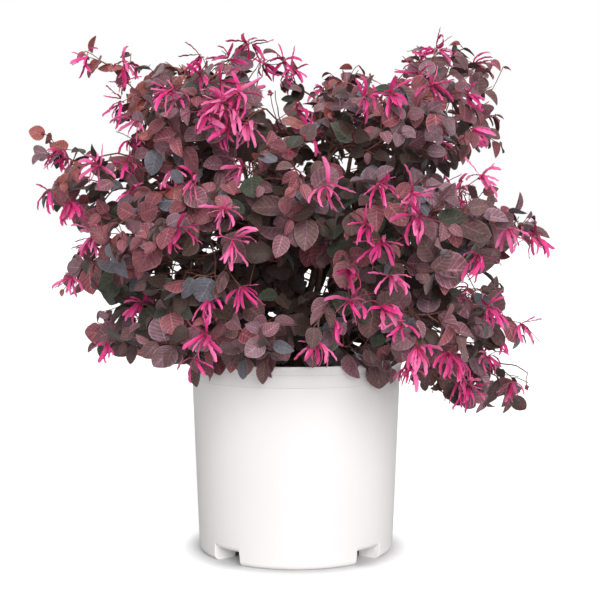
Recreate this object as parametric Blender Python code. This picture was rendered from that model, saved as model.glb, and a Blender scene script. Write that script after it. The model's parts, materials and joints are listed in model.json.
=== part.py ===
"""Potted loropetalum: a purple-leaved flowering shrub in a plain white nursery pot.

Metres, +Z up. The origin is on the pot's axis, in the plane that its feet stand on,
and the shrub's fuller, flowering side faces -Y. Bearings are degrees about +Z from +X.

The pot is a thin moulded shell with a flared lip, a shallow rim band, and a foot ring
that four notches part. The potting mix fills it to a little below the rim. A short
flared trunk stands on the mix and forks into tapering boughs. They run through the
open heart of the shrub, and each ends where it enters its own mass of foliage.
"""

import math
import random
from dataclasses import dataclass

import bmesh
import bpy
from mathutils import Vector
from mathutils.geometry import intersect_line_line

GAP = 0.0003  # between neighbouring solids

# Pot: a "number 3" nursery pot
POT_HEIGHT = 0.245
LIP_RADIUS = 0.138
BODY_TOP_RADIUS = 0.1315
BODY_FOOT_RADIUS = 0.1229
BAND_FOOT = 0.219  # height of the rim band's lower edge
BAND_STEP = 0.0009
LIP_DROP = 0.0035  # straight outer edge of the lip
FLARE_DROP = 0.013  # from under that edge to where the flare meets the band
WALL = 0.0020
CORNER_RADIUS = 0.007
CORNER_TURNS = (45, 90)  # degrees round the foot's outer corner
FLARE_SHARES = (0.0, 0.6, 1.0)  # of the way up the flare
FOOT_RISE = 0.016  # height of the raised floor, and of the notches
FOOT_DEPTH = 0.022  # radial width of the foot ring
RISER_LEAN = 0.002
NOTCH_BEARING = 46.5
NOTCH_COUNT = 4
NOTCH_HALF = 9.7  # degrees
NOTCH_SIDE = 1.0  # degrees over which a notch's side rises
FOOT_SPANS = 5  # facets along each foot
DRAIN_RADIUS = 0.0055
DRAIN_REACH = 0.088

# Potting mix
MIX_LEVEL = 0.222
MIX_FLAT_RADIUS = 0.040
MIX_EDGE_DROP = 0.003
MIX_SHOULDER = 0.012  # width of the slope at its edge
MIX_SHOULDER_RISE = 0.001
MIX_BAND_ROOM = 0.010  # the lined part of the mix ends this far below the rim band

# Trunk
TRUNK_FOOT_RADIUS = 0.0190
TRUNK_RADIUS = 0.0118
TRUNK_TOP_RADIUS = 0.0100
FLARE_HEIGHT = 0.020
FLARE_STEPS = (0.0, 0.2, 0.5, 1.0)  # shares of the flare's height
BUTTRESSES = 3
BUTTRESS_DEPTH = 0.16
BUTTRESS_TURN = 0.6  # radians
FORK_LOW = 0.242
FORK_HIGH = 0.306
TRUNK_TOP = 0.316
TRUNK_SIDES = 12
TRUNK_STEPS = 4  # rings above the flare
TRUNK_LEAN = Vector((0.0030, -0.0015, 0.0))  # shift of the top

# Heart of the shrub, kept open for the boughs
HEART_RADIUS = 0.070
HEART_TOP = 0.510
ROOF_REACH = 0.100  # masses centred nearer the axis than this stand on the heart's roof
ROOF_SHRINK = 0.5
ROOT_DROP = 0.010  # a bough enters its mass a little below the middle
LOWEST_ROOT = 0.268
BEND_REACH = 0.030  # how far a bough runs out before it bends up
BEND_RISE = 0.15  # share of its rise by then
BOUGH_FOOT_RADIUS = 0.0042
BOUGH_TIP_RADIUS = 0.0026
LEADER_FOOT_RADIUS = 0.0075  # of the bough that goes on from the trunk's top
BOUGH_SIDES = 6
BOUGH_SPANS = 3

# Foliage
RIM_CLEARANCE = 0.0008  # between the rim and the leaves that rest over it
HANG_RADIUS = LIP_RADIUS + 0.0015  # masses that hang beside the pot stay outside this
LUMP_COUNT = 14
LUMP_GAIN = 0.24
LUMP_WIDTH = 0.06
TIP_WIDTH = 0.032
ROOT_WIDTH = 0.14
PARTING_STEPS = 6
SPINE_ROOM = 0.006  # least distance from a parting face to either mass's spine
SHARE_LIMIT = 0.35  # the smaller of two neighbours still gets this share of the space between


@dataclass(frozen=True)
class Mass:
    """One mass of foliage: an uneven ellipsoid that also reaches the tips given."""

    name: str
    centre: tuple
    half: tuple  # half sizes along X, Y and Z
    tips: tuple = ()
    grows_from: str = ""  # the neighbour that carries it, where it has no bough of its own
    hangs: bool = False  # beside the pot rather than above its rim
    detail: int = 3


MASSES = (
    # Left side, from the top down
    Mass("foliage_upper_left", (-0.156, 0.026, 0.554), (0.096, 0.105, 0.075),
         ((-0.228, 0.000, 0.582), (-0.105, -0.020, 0.640), (-0.244, -0.020, 0.532))),
    Mass("foliage_left_shoot", (-0.238, 0.010, 0.614), (0.036, 0.026, 0.020),
         ((-0.284, 0.015, 0.629), (-0.208, 0.000, 0.638)),
         grows_from="foliage_upper_left", detail=2),
    Mass("foliage_top_left", (-0.072, 0.015, 0.602), (0.060, 0.075, 0.046),
         ((-0.060, 0.000, 0.647), (-0.122, 0.005, 0.632)),
         grows_from="foliage_upper_left", detail=2),
    Mass("foliage_mid_left", (-0.238, -0.018, 0.458), (0.085, 0.120, 0.060),
         ((-0.320, -0.020, 0.448), (-0.280, 0.020, 0.412))),
    Mass("foliage_left_tip", (-0.294, -0.005, 0.502), (0.030, 0.030, 0.018),
         ((-0.325, 0.000, 0.518),), grows_from="foliage_mid_left", detail=2),
    Mass("foliage_left", (-0.218, 0.010, 0.364), (0.072, 0.120, 0.054),
         ((-0.310, -0.010, 0.328), (-0.290, 0.010, 0.385))),
    Mass("foliage_lower_left", (-0.195, 0.000, 0.284), (0.066, 0.110, 0.040),
         ((-0.262, -0.010, 0.249), (-0.185, -0.030, 0.2475))),
    # Top
    Mass("foliage_top_centre", (-0.014, 0.010, 0.594), (0.022, 0.030, 0.036),
         ((-0.022, -0.005, 0.632),), grows_from="foliage_top_middle", detail=2),
    Mass("foliage_top_middle", (0.066, 0.010, 0.562), (0.075, 0.125, 0.052),
         ((0.030, 0.000, 0.612), (0.095, 0.000, 0.612))),
    Mass("foliage_upper_right", (0.185, 0.015, 0.565), (0.078, 0.110, 0.083),
         ((0.205, 0.000, 0.653), (0.274, 0.010, 0.612), (0.264, -0.010, 0.500),
          (0.155, 0.000, 0.645))),
    # Right side, from the top down
    Mass("foliage_mid_right", (0.232, 0.000, 0.408), (0.070, 0.125, 0.048),
         ((0.326, -0.010, 0.390), (0.262, 0.000, 0.438), (0.305, 0.010, 0.420))),
    Mass("foliage_right", (0.212, 0.010, 0.314), (0.058, 0.120, 0.054),
         ((0.316, -0.010, 0.264), (0.262, 0.010, 0.345))),
    Mass("foliage_lower_right", (0.215, -0.020, 0.224), (0.076, 0.085, 0.048),
         ((0.298, -0.020, 0.200), (0.232, -0.030, 0.174), (0.150, -0.050, 0.208)),
         grows_from="foliage_right", hangs=True),
    # Front
    Mass("foliage_front", (-0.006, -0.215, 0.452), (0.066, 0.078, 0.066),
         ((-0.010, -0.298, 0.440),)),
    Mass("foliage_front_upper_left", (-0.085, -0.135, 0.512), (0.105, 0.100, 0.084)),
    Mass("foliage_front_upper_right", (0.095, -0.130, 0.512), (0.110, 0.100, 0.078)),
    Mass("foliage_front_left", (-0.106, -0.190, 0.395), (0.122, 0.100, 0.074),
         ((-0.130, -0.300, 0.375),)),
    Mass("foliage_front_right", (0.112, -0.190, 0.405), (0.122, 0.100, 0.076),
         ((0.120, -0.300, 0.400),)),
    Mass("foliage_front_lower_left", (-0.090, -0.160, 0.298), (0.105, 0.095, 0.056)),
    Mass("foliage_front_lower_right", (0.100, -0.165, 0.300), (0.108, 0.095, 0.058)),
    # Back
    Mass("foliage_back", (0.008, 0.215, 0.446), (0.068, 0.078, 0.068),
         ((0.000, 0.298, 0.440),)),
    Mass("foliage_back_upper_left", (-0.100, 0.140, 0.510), (0.110, 0.100, 0.075)),
    Mass("foliage_back_upper_right", (0.105, 0.145, 0.515), (0.105, 0.100, 0.075)),
    Mass("foliage_back_left", (-0.115, 0.190, 0.400), (0.120, 0.100, 0.075),
         ((-0.110, 0.300, 0.395),)),
    Mass("foliage_back_right", (0.112, 0.190, 0.395), (0.120, 0.100, 0.075),
         ((0.130, 0.300, 0.385),)),
    Mass("foliage_back_lower_left", (-0.095, 0.165, 0.297), (0.105, 0.095, 0.056)),
    Mass("foliage_back_lower_right", (0.100, 0.160, 0.298), (0.105, 0.095, 0.056)),
)

CRISP_ANGLE = 0.7  # radians between faces, past which an edge stays sharp
LEAFY_ANGLE = 1.2

FINISHES = {
    "pot_white": ((0.86, 0.85, 0.84), 0.32),
    "potting_mix": ((0.055, 0.035, 0.025), 0.95),
    "bark": ((0.16, 0.10, 0.08), 0.85),
    "foliage_purple": ((0.13, 0.055, 0.065), 0.60),
}


def clear_scene():
    for item in list(bpy.data.objects):
        bpy.data.objects.remove(item, do_unlink=True)


def finish(name):
    """The material of that name, made once."""
    found = bpy.data.materials.get(name)
    if found:
        return found
    colour, roughness = FINISHES[name]
    made = bpy.data.materials.new(name)
    made.use_nodes = True
    shader = made.node_tree.nodes["Principled BSDF"]
    shader.inputs["Base Color"].default_value = (*colour, 1.0)
    shader.inputs["Roughness"].default_value = roughness
    shader.inputs["Metallic"].default_value = 0.0
    return made


def add_object(name, bm, material, smooth_angle=CRISP_ANGLE):
    """Turns the mesh into a scene object with its faces pointing out."""
    bmesh.ops.recalc_face_normals(bm, faces=bm.faces)
    mesh = bpy.data.meshes.new(name)
    bm.to_mesh(mesh)
    bm.free()
    mesh.shade_smooth()
    mesh.set_sharp_from_angle(angle=smooth_angle)
    mesh.materials.append(finish(material))
    item = bpy.data.objects.new(name, mesh)
    bpy.context.scene.collection.objects.link(item)
    return item


def polar(radius, bearing, height):
    """The point at this radius and bearing (radians) about the pot's axis."""
    return Vector((radius * math.cos(bearing), radius * math.sin(bearing), height))


def closed_rings(rings, first_pole=None, last_pole=None):
    """A closed mesh through rings of equal count. An end is a flat cap unless it has a pole."""
    bm = bmesh.new()
    rows = [[bm.verts.new(point) for point in ring] for ring in rings]
    count = len(rows[0])
    for lower, upper in zip(rows, rows[1:]):
        for i in range(count):
            j = (i + 1) % count
            bm.faces.new((lower[i], lower[j], upper[j], upper[i]))
    for row, pole in ((rows[0], first_pole), (rows[-1], last_pole)):
        if pole is None:
            bm.faces.new(row)
            continue
        tip = bm.verts.new(pole)
        for i in range(count):
            bm.faces.new((row[i], row[(i + 1) % count], tip))
    return bm


# Pot and potting mix


def body_radius(height):
    """Outer radius of the pot's plain tapering body."""
    share = height / BAND_FOOT
    return BODY_FOOT_RADIUS + (BODY_TOP_RADIUS - BODY_FOOT_RADIUS) * share


def foot_line(rise):
    """The pot's outer line as (radius, height), from the floor's edge to its top.

    rise is how far the foot is lifted: 0 on a foot, FOOT_RISE in a notch."""
    foot_outer = body_radius(0) - CORNER_RADIUS
    foot_inner = foot_outer - FOOT_DEPTH
    line = [(foot_inner - RISER_LEAN, FOOT_RISE), (foot_inner, rise), (foot_outer, rise)]
    for degrees in CORNER_TURNS:
        turn = math.radians(degrees)
        height = rise + CORNER_RADIUS * (1 - math.cos(turn))
        line.append((body_radius(height) - CORNER_RADIUS * (1 - math.sin(turn)), height))
    line.append((body_radius(BAND_FOOT), BAND_FOOT))
    band = body_radius(BAND_FOOT) + BAND_STEP
    line.append((band, BAND_FOOT + BAND_STEP))
    flare_top = POT_HEIGHT - LIP_DROP
    for share in FLARE_SHARES:
        out = share ** 2 * (LIP_RADIUS - band)
        line.append((band + out, flare_top - FLARE_DROP * (1 - share)))
    line.append((LIP_RADIUS, POT_HEIGHT))
    return line


def inset_line(line, inset):
    """The line moved inwards and upwards by inset, square to itself."""
    moved = []
    for i, here in enumerate(line):
        before = line[max(i - 1, 0)]
        after = line[min(i + 1, len(line) - 1)]
        legs = []
        for a, b in ((before, here), (here, after)):
            leg = Vector((b[0] - a[0], b[1] - a[1]))
            if leg.length > 1e-6:
                legs.append(Vector((-leg.y, leg.x)).normalized())
        normal = sum(legs, Vector((0, 0))).normalized()
        stretch = 1.0 / max(normal.dot(legs[0]), 0.5)
        moved.append((here[0] + normal.x * inset * stretch, here[1] + normal.y * inset * stretch))
    return moved


def foot_bearings(inset):
    """(bearing, in a notch) round the pot; an inset wall stands clear of the notches' sides."""
    shrink = math.degrees(inset / BODY_FOOT_RADIUS)
    edge = NOTCH_HALF + NOTCH_SIDE
    quarter = [(-edge - shrink, False), (-NOTCH_HALF - shrink, True), (0.0, True),
               (NOTCH_HALF + shrink, True), (edge + shrink, False)]
    span = (90.0 - 2 * (edge + shrink)) / FOOT_SPANS
    quarter += [(edge + shrink + span * i, False) for i in range(1, FOOT_SPANS)]
    turns = [NOTCH_BEARING + 360.0 / NOTCH_COUNT * n for n in range(NOTCH_COUNT)]
    return [(math.radians(turn + degrees), notch) for turn in turns for degrees, notch in quarter]


def pot_rings(inset):
    """Rings of the pot's skin, moved in by inset, from the floor's edge to the lip."""
    lines = {rise: inset_line(foot_line(rise), inset) for rise in (0.0, FOOT_RISE)}
    level = [bearing for bearing, _ in foot_bearings(0.0)]
    rings = []
    for row in range(len(lines[0.0])):
        ring = []
        for i, (bearing, notch) in enumerate(foot_bearings(inset)):
            radius, height = lines[FOOT_RISE if notch else 0.0][row]
            in_foot = height < FOOT_RISE + CORNER_RADIUS + inset
            ring.append(polar(radius, bearing if in_foot else level[i], height))
        rings.append(ring)
    return rings


def build_pot():
    outer = pot_rings(0.0)
    inner = pot_rings(WALL)
    inner[-1] = [polar(LIP_RADIUS - WALL, math.atan2(p.y, p.x), POT_HEIGHT) for p in outer[-1]]
    bm = closed_rings(outer + inner[::-1], Vector((0, 0, FOOT_RISE)), Vector((0, 0, FOOT_RISE + WALL)))
    pot = add_object("pot", bm, "pot_white")
    for n in range(NOTCH_COUNT):
        drill_drain(pot, math.radians(NOTCH_BEARING + 360.0 / NOTCH_COUNT * n))


def drill_drain(pot, bearing):
    """Cuts one drain hole through the raised floor, beside a notch."""
    bm = bmesh.new()
    bmesh.ops.create_cone(bm, cap_ends=True, segments=12, radius1=DRAIN_RADIUS,
                          radius2=DRAIN_RADIUS, depth=WALL * 4)
    bmesh.ops.translate(bm, verts=bm.verts, vec=polar(DRAIN_REACH, bearing, FOOT_RISE + WALL / 2))
    cutter = add_object(f"drain_cutter_{round(math.degrees(bearing))}", bm, "pot_white")
    cutter.hide_render = True
    cutter.display_type = "WIRE"
    cut = pot.modifiers.new(cutter.name, "BOOLEAN")
    cut.operation = "DIFFERENCE"
    cut.object = cutter


def build_potting_mix():
    """Fills the pot's inside, foot ring and all, up to a flat top that sinks a little at its edge."""
    rings = [ring for ring in pot_rings(WALL + GAP) if ring[0].z < BAND_FOOT - MIX_BAND_ROOM]
    edge_height = MIX_LEVEL - MIX_EDGE_DROP
    edge_radius = body_radius(edge_height) - WALL - GAP
    for radius, height in ((edge_radius, edge_height - GAP),
                           (edge_radius - MIX_SHOULDER, edge_height + MIX_SHOULDER_RISE),
                           (MIX_FLAT_RADIUS, MIX_LEVEL)):
        rings.append([polar(radius, bearing, height) for bearing, _ in foot_bearings(0.0)])
    bm = closed_rings(rings, Vector((0, 0, FOOT_RISE + WALL + GAP)), Vector((0, 0, MIX_LEVEL)))
    add_object("potting_mix", bm, "potting_mix")


# Trunk and boughs


def trunk_axis(height):
    """The trunk's middle at this height; it leans a little."""
    share = (height - MIX_LEVEL) / (TRUNK_TOP - MIX_LEVEL)
    return Vector((0, 0, height)) + TRUNK_LEAN * share ** 1.5


def trunk_radius(height):
    """The trunk's mean radius: a root flare, then an even taper."""
    up = height - MIX_LEVEL
    taper = TRUNK_RADIUS + (TRUNK_TOP_RADIUS - TRUNK_RADIUS) * up / (TRUNK_TOP - MIX_LEVEL)
    flare = max(0.0, 1.0 - up / FLARE_HEIGHT) ** 2
    return taper + (TRUNK_FOOT_RADIUS - TRUNK_RADIUS) * flare


def build_trunk():
    heights = [MIX_LEVEL + GAP + FLARE_HEIGHT * share for share in FLARE_STEPS]
    flare_top = heights[-1]
    heights += [flare_top + (TRUNK_TOP - flare_top) * i / TRUNK_STEPS for i in range(1, TRUNK_STEPS + 1)]
    rings = []
    for height in heights:
        flare = max(0.0, 1.0 - (height - MIX_LEVEL) / FLARE_HEIGHT)
        ring = []
        for i in range(TRUNK_SIDES):
            turn = math.tau * i / TRUNK_SIDES
            buttress = 1.0 + BUTTRESS_DEPTH * flare * math.cos(BUTTRESSES * turn + BUTTRESS_TURN)
            ring.append(trunk_axis(height) + polar(trunk_radius(height) * buttress, turn, 0.0))
        rings.append(ring)
    add_object("trunk", closed_rings(rings), "bark")


def root_point(mass):
    """Where the mass's bough enters it: on the wall or the roof of the open heart."""
    centre = Vector(mass.centre)
    if on_roof(mass):
        return Vector((centre.x * ROOF_SHRINK, centre.y * ROOF_SHRINK, HEART_TOP))
    bearing = math.atan2(centre.y, centre.x)
    return polar(HEART_RADIUS, bearing, min(centre.z - ROOT_DROP, HEART_TOP - ROOT_DROP))


def on_roof(mass):
    """Whether the mass stands on the heart's roof rather than round its wall."""
    return math.hypot(mass.centre[0], mass.centre[1]) < ROOF_REACH


def heart_plane(mass):
    """(point, normal) of the heart's flat wall or roof that the mass keeps outside."""
    if on_roof(mass):
        return Vector((0, 0, HEART_TOP)), Vector((0, 0, 1))
    bearing = math.atan2(mass.centre[1], mass.centre[0])
    return polar(HEART_RADIUS, bearing, 0.0), polar(1.0, bearing, 0.0)


def onto_plane(point, along, plane_point, normal):
    """The point moved along a direction until it lies in the plane."""
    return point + along * ((plane_point - point).dot(normal) / along.dot(normal))


def bough_start(mass, end):
    """(point, outward normal, foot radius) where a bough leaves the trunk; high boughs leave high."""
    if on_roof(mass):
        return trunk_axis(TRUNK_TOP + GAP), Vector((0, 0, 1)), LEADER_FOOT_RADIUS
    share = (end.z - LOWEST_ROOT) / (HEART_TOP - LOWEST_ROOT)
    height = FORK_LOW + (FORK_HIGH - FORK_LOW) * share
    out = polar(1.0, math.atan2(mass.centre[1], mass.centre[0]), 0.0)
    reach = trunk_radius(height - 2 * BOUGH_FOOT_RADIUS) + 2 * GAP
    return trunk_axis(height) + out * reach, out, BOUGH_FOOT_RADIUS


def bough_axis(start, leaving, end):
    """Points of a smooth curve that leaves the trunk squarely and bends up to the mass."""
    rise = Vector((0, 0, end.z - start.z))
    bend = start + leaving * BEND_REACH + rise * BEND_RISE
    return [start * (1 - t) ** 2 + bend * (2 * t * (1 - t)) + end * t ** 2
            for t in (i / BOUGH_SPANS for i in range(BOUGH_SPANS + 1))]


def build_bough(mass):
    """One tapering limb from the trunk to the foot of its mass, cut flush with both."""
    end = root_point(mass)
    start, leaving, foot_radius = bough_start(mass, end)
    wall_point, wall_normal = heart_plane(mass)
    wall_point = wall_point - wall_normal * GAP
    points = bough_axis(start, leaving, end)
    sideways = Vector((-leaving.y, leaving.x, 0)) if leaving.z == 0 else Vector((0, 1, 0))
    rings = []
    for i, point in enumerate(points):
        along = (points[min(i + 1, BOUGH_SPANS)] - points[max(i - 1, 0)]).normalized()
        above = sideways.cross(along).normalized()
        side = along.cross(above)
        radius = foot_radius + (BOUGH_TIP_RADIUS - foot_radius) * i / BOUGH_SPANS
        ring = []
        for n in range(BOUGH_SIDES):
            turn = math.tau * n / BOUGH_SIDES
            place = point + (side * math.cos(turn) + above * math.sin(turn)) * radius
            if i == 0:
                place = onto_plane(place, along, start, leaving)
            if i == BOUGH_SPANS:
                place = onto_plane(place, along, wall_point, wall_normal)
            ring.append(place)
        rings.append(ring)
    add_object(mass.name.replace("foliage", "bough"), closed_rings(rings), "bark")


# Foliage


def ellipsoid_radius(mass, direction):
    """Distance from the mass's centre to its plain ellipsoid."""
    return 1.0 / math.sqrt(sum((d / h) ** 2 for d, h in zip(direction, mass.half)))


def bump(direction, peak, width):
    """1 at the peak direction, falling off round it."""
    return math.exp((direction.dot(peak) - 1.0) / width)


def make_lumps(mass):
    """Swellings and hollows, seeded by the mass's name, as (direction, gain)."""
    rng = random.Random(mass.name)
    lumps = []
    for _ in range(LUMP_COUNT):
        direction = Vector([rng.gauss(0, 1) for _ in range(3)]).normalized()
        lumps.append((direction, rng.uniform(-LUMP_GAIN, LUMP_GAIN)))
    return lumps


def skin_radius(mass, lumps, reaches, direction):
    """Distance from the centre to the uneven skin, which swells out to its tips and its root."""
    swell = 1.0 + sum(gain * bump(direction, peak, LUMP_WIDTH) for peak, gain in lumps)
    radius = ellipsoid_radius(mass, direction) * swell
    for peak, reach, width in reaches:
        radius += (reach - ellipsoid_radius(mass, peak)) * bump(direction, peak, width)
    return radius


def spine(mass):
    """The line inside a mass, from its root to its centre, that stays its own."""
    centre = Vector(mass.centre)
    return (centre.copy() if mass.grows_from else root_point(mass)), centre


def nearest_on(line, point):
    """The point of a straight spine nearest to this one."""
    start, end = line
    run = end - start
    if run.length_squared == 0:
        return start
    share = (point - start).dot(run) / run.length_squared
    return start + run * min(max(share, 0.0), 1.0)


def nearest_points(first, second):
    """The nearest points of two straight spines: at an end of one, or where they pass."""
    pairs = [(end, nearest_on(second, end)) for end in first]
    pairs += [(nearest_on(first, end), end) for end in second]
    passing = intersect_line_line(*first, *second)
    if passing:
        pairs.append((nearest_on(first, passing[0]), nearest_on(second, passing[1])))
    return min(pairs, key=lambda pair: (pair[0] - pair[1]).length)


def parting_face(first, second):
    """(point, normal) of the flat face between two masses; the normal points to the second.

    It stands square to the line between their centres where that leaves both spines whole,
    and otherwise turns by steps towards the line between the spines' nearest points."""
    spines = spine(first), spine(second)
    nearest = nearest_points(*spines)
    for step in range(PARTING_STEPS + 1):
        here, there = (line[1].lerp(near, step / PARTING_STEPS) for line, near in zip(spines, nearest))
        toward = (there - here).normalized()
        near, far = ellipsoid_radius(first, toward), ellipsoid_radius(second, toward)
        share = min(max(near / (near + far), SHARE_LIMIT), 1 - SHARE_LIMIT)
        face = here.lerp(there, share)
        room = [(face - point).dot(toward) for point in spines[0]]
        room += [(point - face).dot(toward) for point in spines[1]]
        if min(room) > SPINE_ROOM:
            break
    return face, toward


def share_planes(mass):
    """(point, normal) of the flat faces that part a mass from its neighbours, heart and pot."""
    planes = [heart_plane(mass)]
    for other in MASSES:
        if other.name < mass.name:
            point, normal = parting_face(other, mass)
            planes.append((point + normal * (GAP / 2), normal))
        elif other.name > mass.name:
            point, normal = parting_face(mass, other)
            planes.append((point - normal * (GAP / 2), -normal))
    if mass.hangs:
        bearing = math.atan2(mass.centre[1], mass.centre[0])
        planes.append((polar(HANG_RADIUS, bearing, 0.0), polar(1.0, bearing, 0.0)))
    else:
        planes.append((Vector((0, 0, POT_HEIGHT + RIM_CLEARANCE)), Vector((0, 0, 1))))
    return planes


def trimmed(centre, direction, radius, planes):
    """The radius, cut back to the first plane that the ray from the centre meets."""
    for point, normal in planes:
        facing = direction.dot(normal)
        if facing < -1e-6:
            radius = min(radius, (point - centre).dot(normal) / facing)
    return radius


def build_mass(mass):
    """One closed uneven solid, round its centre, that keeps clear of all its neighbours."""
    bm = bmesh.new()
    bmesh.ops.create_icosphere(bm, subdivisions=mass.detail, radius=1.0)
    centre = Vector(mass.centre)
    lumps = make_lumps(mass)
    planes = share_planes(mass)
    targets = [(Vector(tip), TIP_WIDTH) for tip in mass.tips]
    targets += [(Vector(other.centre), TIP_WIDTH) for other in MASSES
                if other.grows_from == mass.name or other.name == mass.grows_from]
    if not mass.grows_from:
        targets.append((root_point(mass), ROOT_WIDTH))
    reaches = [((tip - centre).normalized(), (tip - centre).length, width) for tip, width in targets]
    rays = {vert: vert.co.normalized() for vert in bm.verts}
    for vert, ray in rays.items():
        radius = skin_radius(mass, lumps, reaches, ray)
        vert.co = centre + ray * trimmed(centre, ray, radius, planes)
    for aim, reach, _ in reaches:
        nearest = max(rays, key=lambda vert: rays[vert].dot(aim))
        nearest.co = centre + aim * trimmed(centre, aim, reach, planes)
    add_object(mass.name, bm, "foliage_purple", smooth_angle=LEAFY_ANGLE)


def main():
    clear_scene()
    build_pot()
    build_potting_mix()
    build_trunk()
    for mass in MASSES:
        if not mass.grows_from:
            build_bough(mass)
        build_mass(mass)


main()
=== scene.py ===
"""Potted loropetalum: a purple-leaved, pink-flowered shrub in its white nursery pot.

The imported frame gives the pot, the trunk and boughs, and one plain solid for each mass of foliage.
A seeded branching rule carries every bough on into its masses. Leaves stand in two rows along the
shoots, in sprays that each have a colour of their own, and blossom hangs from chosen shoot ends.
Metres, +Z up; the flowering side faces -Y. Bearings are degrees about +Z from +X.
"""

import json
import logging
import random
from collections.abc import Sequence
from dataclasses import dataclass, field
from enum import Enum
from math import atan2, cos, hypot, inf, isfinite, pi, radians, sin, sqrt, tau

import bpy
import numpy as np
from bpy.types import Material, Object
from mathutils import Euler, Matrix, Vector, noise
from mathutils.bvhtree import BVHTree

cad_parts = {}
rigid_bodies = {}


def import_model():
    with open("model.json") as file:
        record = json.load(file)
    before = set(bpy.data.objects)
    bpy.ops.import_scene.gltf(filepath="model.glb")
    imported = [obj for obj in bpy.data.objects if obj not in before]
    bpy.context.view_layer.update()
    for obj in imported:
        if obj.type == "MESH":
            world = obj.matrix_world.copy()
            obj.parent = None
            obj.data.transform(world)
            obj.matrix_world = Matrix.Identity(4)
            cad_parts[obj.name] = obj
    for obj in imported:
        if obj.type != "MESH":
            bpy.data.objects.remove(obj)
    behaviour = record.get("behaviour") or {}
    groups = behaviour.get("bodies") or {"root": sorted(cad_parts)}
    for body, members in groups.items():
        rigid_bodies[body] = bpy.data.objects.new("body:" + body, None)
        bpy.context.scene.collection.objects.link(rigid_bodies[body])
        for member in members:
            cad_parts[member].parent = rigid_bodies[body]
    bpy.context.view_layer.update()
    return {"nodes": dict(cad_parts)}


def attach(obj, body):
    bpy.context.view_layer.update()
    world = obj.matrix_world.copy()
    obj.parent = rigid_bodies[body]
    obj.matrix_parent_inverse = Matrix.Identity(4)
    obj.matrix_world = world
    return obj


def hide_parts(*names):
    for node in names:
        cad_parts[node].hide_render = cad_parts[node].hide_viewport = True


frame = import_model()

BODY = "root"
UP = Vector((0.0, 0.0, 1.0))
FLOWERING_SIDE = Vector((0.0, -1.0, 0.0))
log = logging.getLogger("potted_loropetalum")

Colour = tuple[float, float, float, float]
WHITE: Colour = (1.0, 1.0, 1.0, 1.0)


# Small helpers


def srgb(red: int, green: int, blue: int) -> Colour:
    """Returns the linear colour that a shader takes for a screen colour from 0 to 255, with an alpha of 1."""
    parts = [part / 255.0 for part in (red, green, blue)]
    return *(part / 12.92 if part <= 0.04045 else ((part + 0.055) / 1.055) ** 2.4 for part in parts), 1.0


def polar(radius: float, bearing: float, height: float) -> Vector:
    """Returns the point at this radius, bearing in radians and height."""
    return Vector((radius * cos(bearing), radius * sin(bearing), height))


def square_to(direction: Vector, hint: Vector) -> Vector:
    """Returns the unit vector square to direction that lies nearest to hint."""
    across = hint - direction * hint.dot(direction)
    return across.normalized() if across.length > 1e-6 else direction.orthogonal().normalized()


def gauss_vector(rng: random.Random) -> Vector:
    """Returns a vector of three seeded normal numbers."""
    return Vector((rng.gauss(0, 1), rng.gauss(0, 1), rng.gauss(0, 1)))


def deal_from(rng: random.Random, table: Sequence[tuple[object, int]]) -> object:
    """Draws one of a table's first entries, as often as its second entries weigh."""
    return rng.choices([entry for entry, _ in table], [weight for _, weight in table])[0]


def bezier(start: Vector, first: Vector, second: Vector, end: Vector, count: int) -> list[Vector]:
    """Walks a cubic curve in even steps.

    Args:
        start: Where the curve begins.
        first: Handle that it leaves towards.
        second: Handle that it arrives from.
        end: Where the curve ends.
        count: Number of steps.

    Returns:
        The count + 1 points from start to end.
    """
    walk = [(1 - i / count, i / count) for i in range(count + 1)]
    return [start * s ** 3 + first * (3 * s * s * t) + second * (3 * s * t * t) + end * t ** 3
            for s, t in walk]


def put_in_scene(name: str, data: bpy.types.ID) -> Object:
    """Makes an object of a mesh, light or camera and links it to the scene.

    Args:
        name: Its name.
        data: What it shows.

    Returns:
        The object, at the origin.
    """
    made = bpy.data.objects.new(name, data)
    bpy.context.scene.collection.objects.link(made)
    return made


def mesh_object(name: str, points: Sequence, faces: Sequence, edges: Sequence = ()) -> Object:
    """Makes an object at the origin from points and faces, and links it to the scene.

    Args:
        name: Name of the object and of its mesh.
        points: Positions in the frame.
        faces: Tuples of point numbers.
        edges: Pairs of point numbers, for a mesh without faces.

    Returns:
        The new object, shaded smooth.
    """
    mesh = bpy.data.meshes.new(name)
    mesh.from_pydata([tuple(p) for p in points], list(edges), list(faces))
    if len(mesh.polygons):
        mesh.shade_smooth()
    mesh.update()
    return put_in_scene(name, mesh)


def ring_faces(rows: int, columns: int) -> list[tuple[int, ...]]:
    """Returns the quads between rings of points, facing out if the rings rise and run anticlockwise."""
    sides = [(row * columns, i, (i + 1) % columns) for row in range(rows - 1) for i in range(columns)]
    return [(low + i, low + j, low + columns + j, low + columns + i) for low, i, j in sides]


def capped_faces(rows: int, columns: int) -> list[tuple[int, ...]]:
    """Joins rings of points into quads, and closes both ends onto two more points.

    Args:
        rows: Number of rings.
        columns: Points in each ring.

    Returns:
        The faces, for rings that the bottom's and the top's middle point follow.
    """
    faces = ring_faces(rows, columns)
    last, bottom, top = (rows - 1) * columns, rows * columns, rows * columns + 1
    for i in range(columns):
        j = (i + 1) % columns
        faces.extend(((j, i, bottom), (last + i, last + j, top)))
    return faces


def strip_faces(rows: int) -> list[tuple[int, ...]]:
    """Returns the quads of a strip whose points come in threes: left, middle and right."""
    return [(a, a + 3, a + 4, a + 1) for row in range(rows) for a in (row * 3, row * 3 + 1)]


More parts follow.
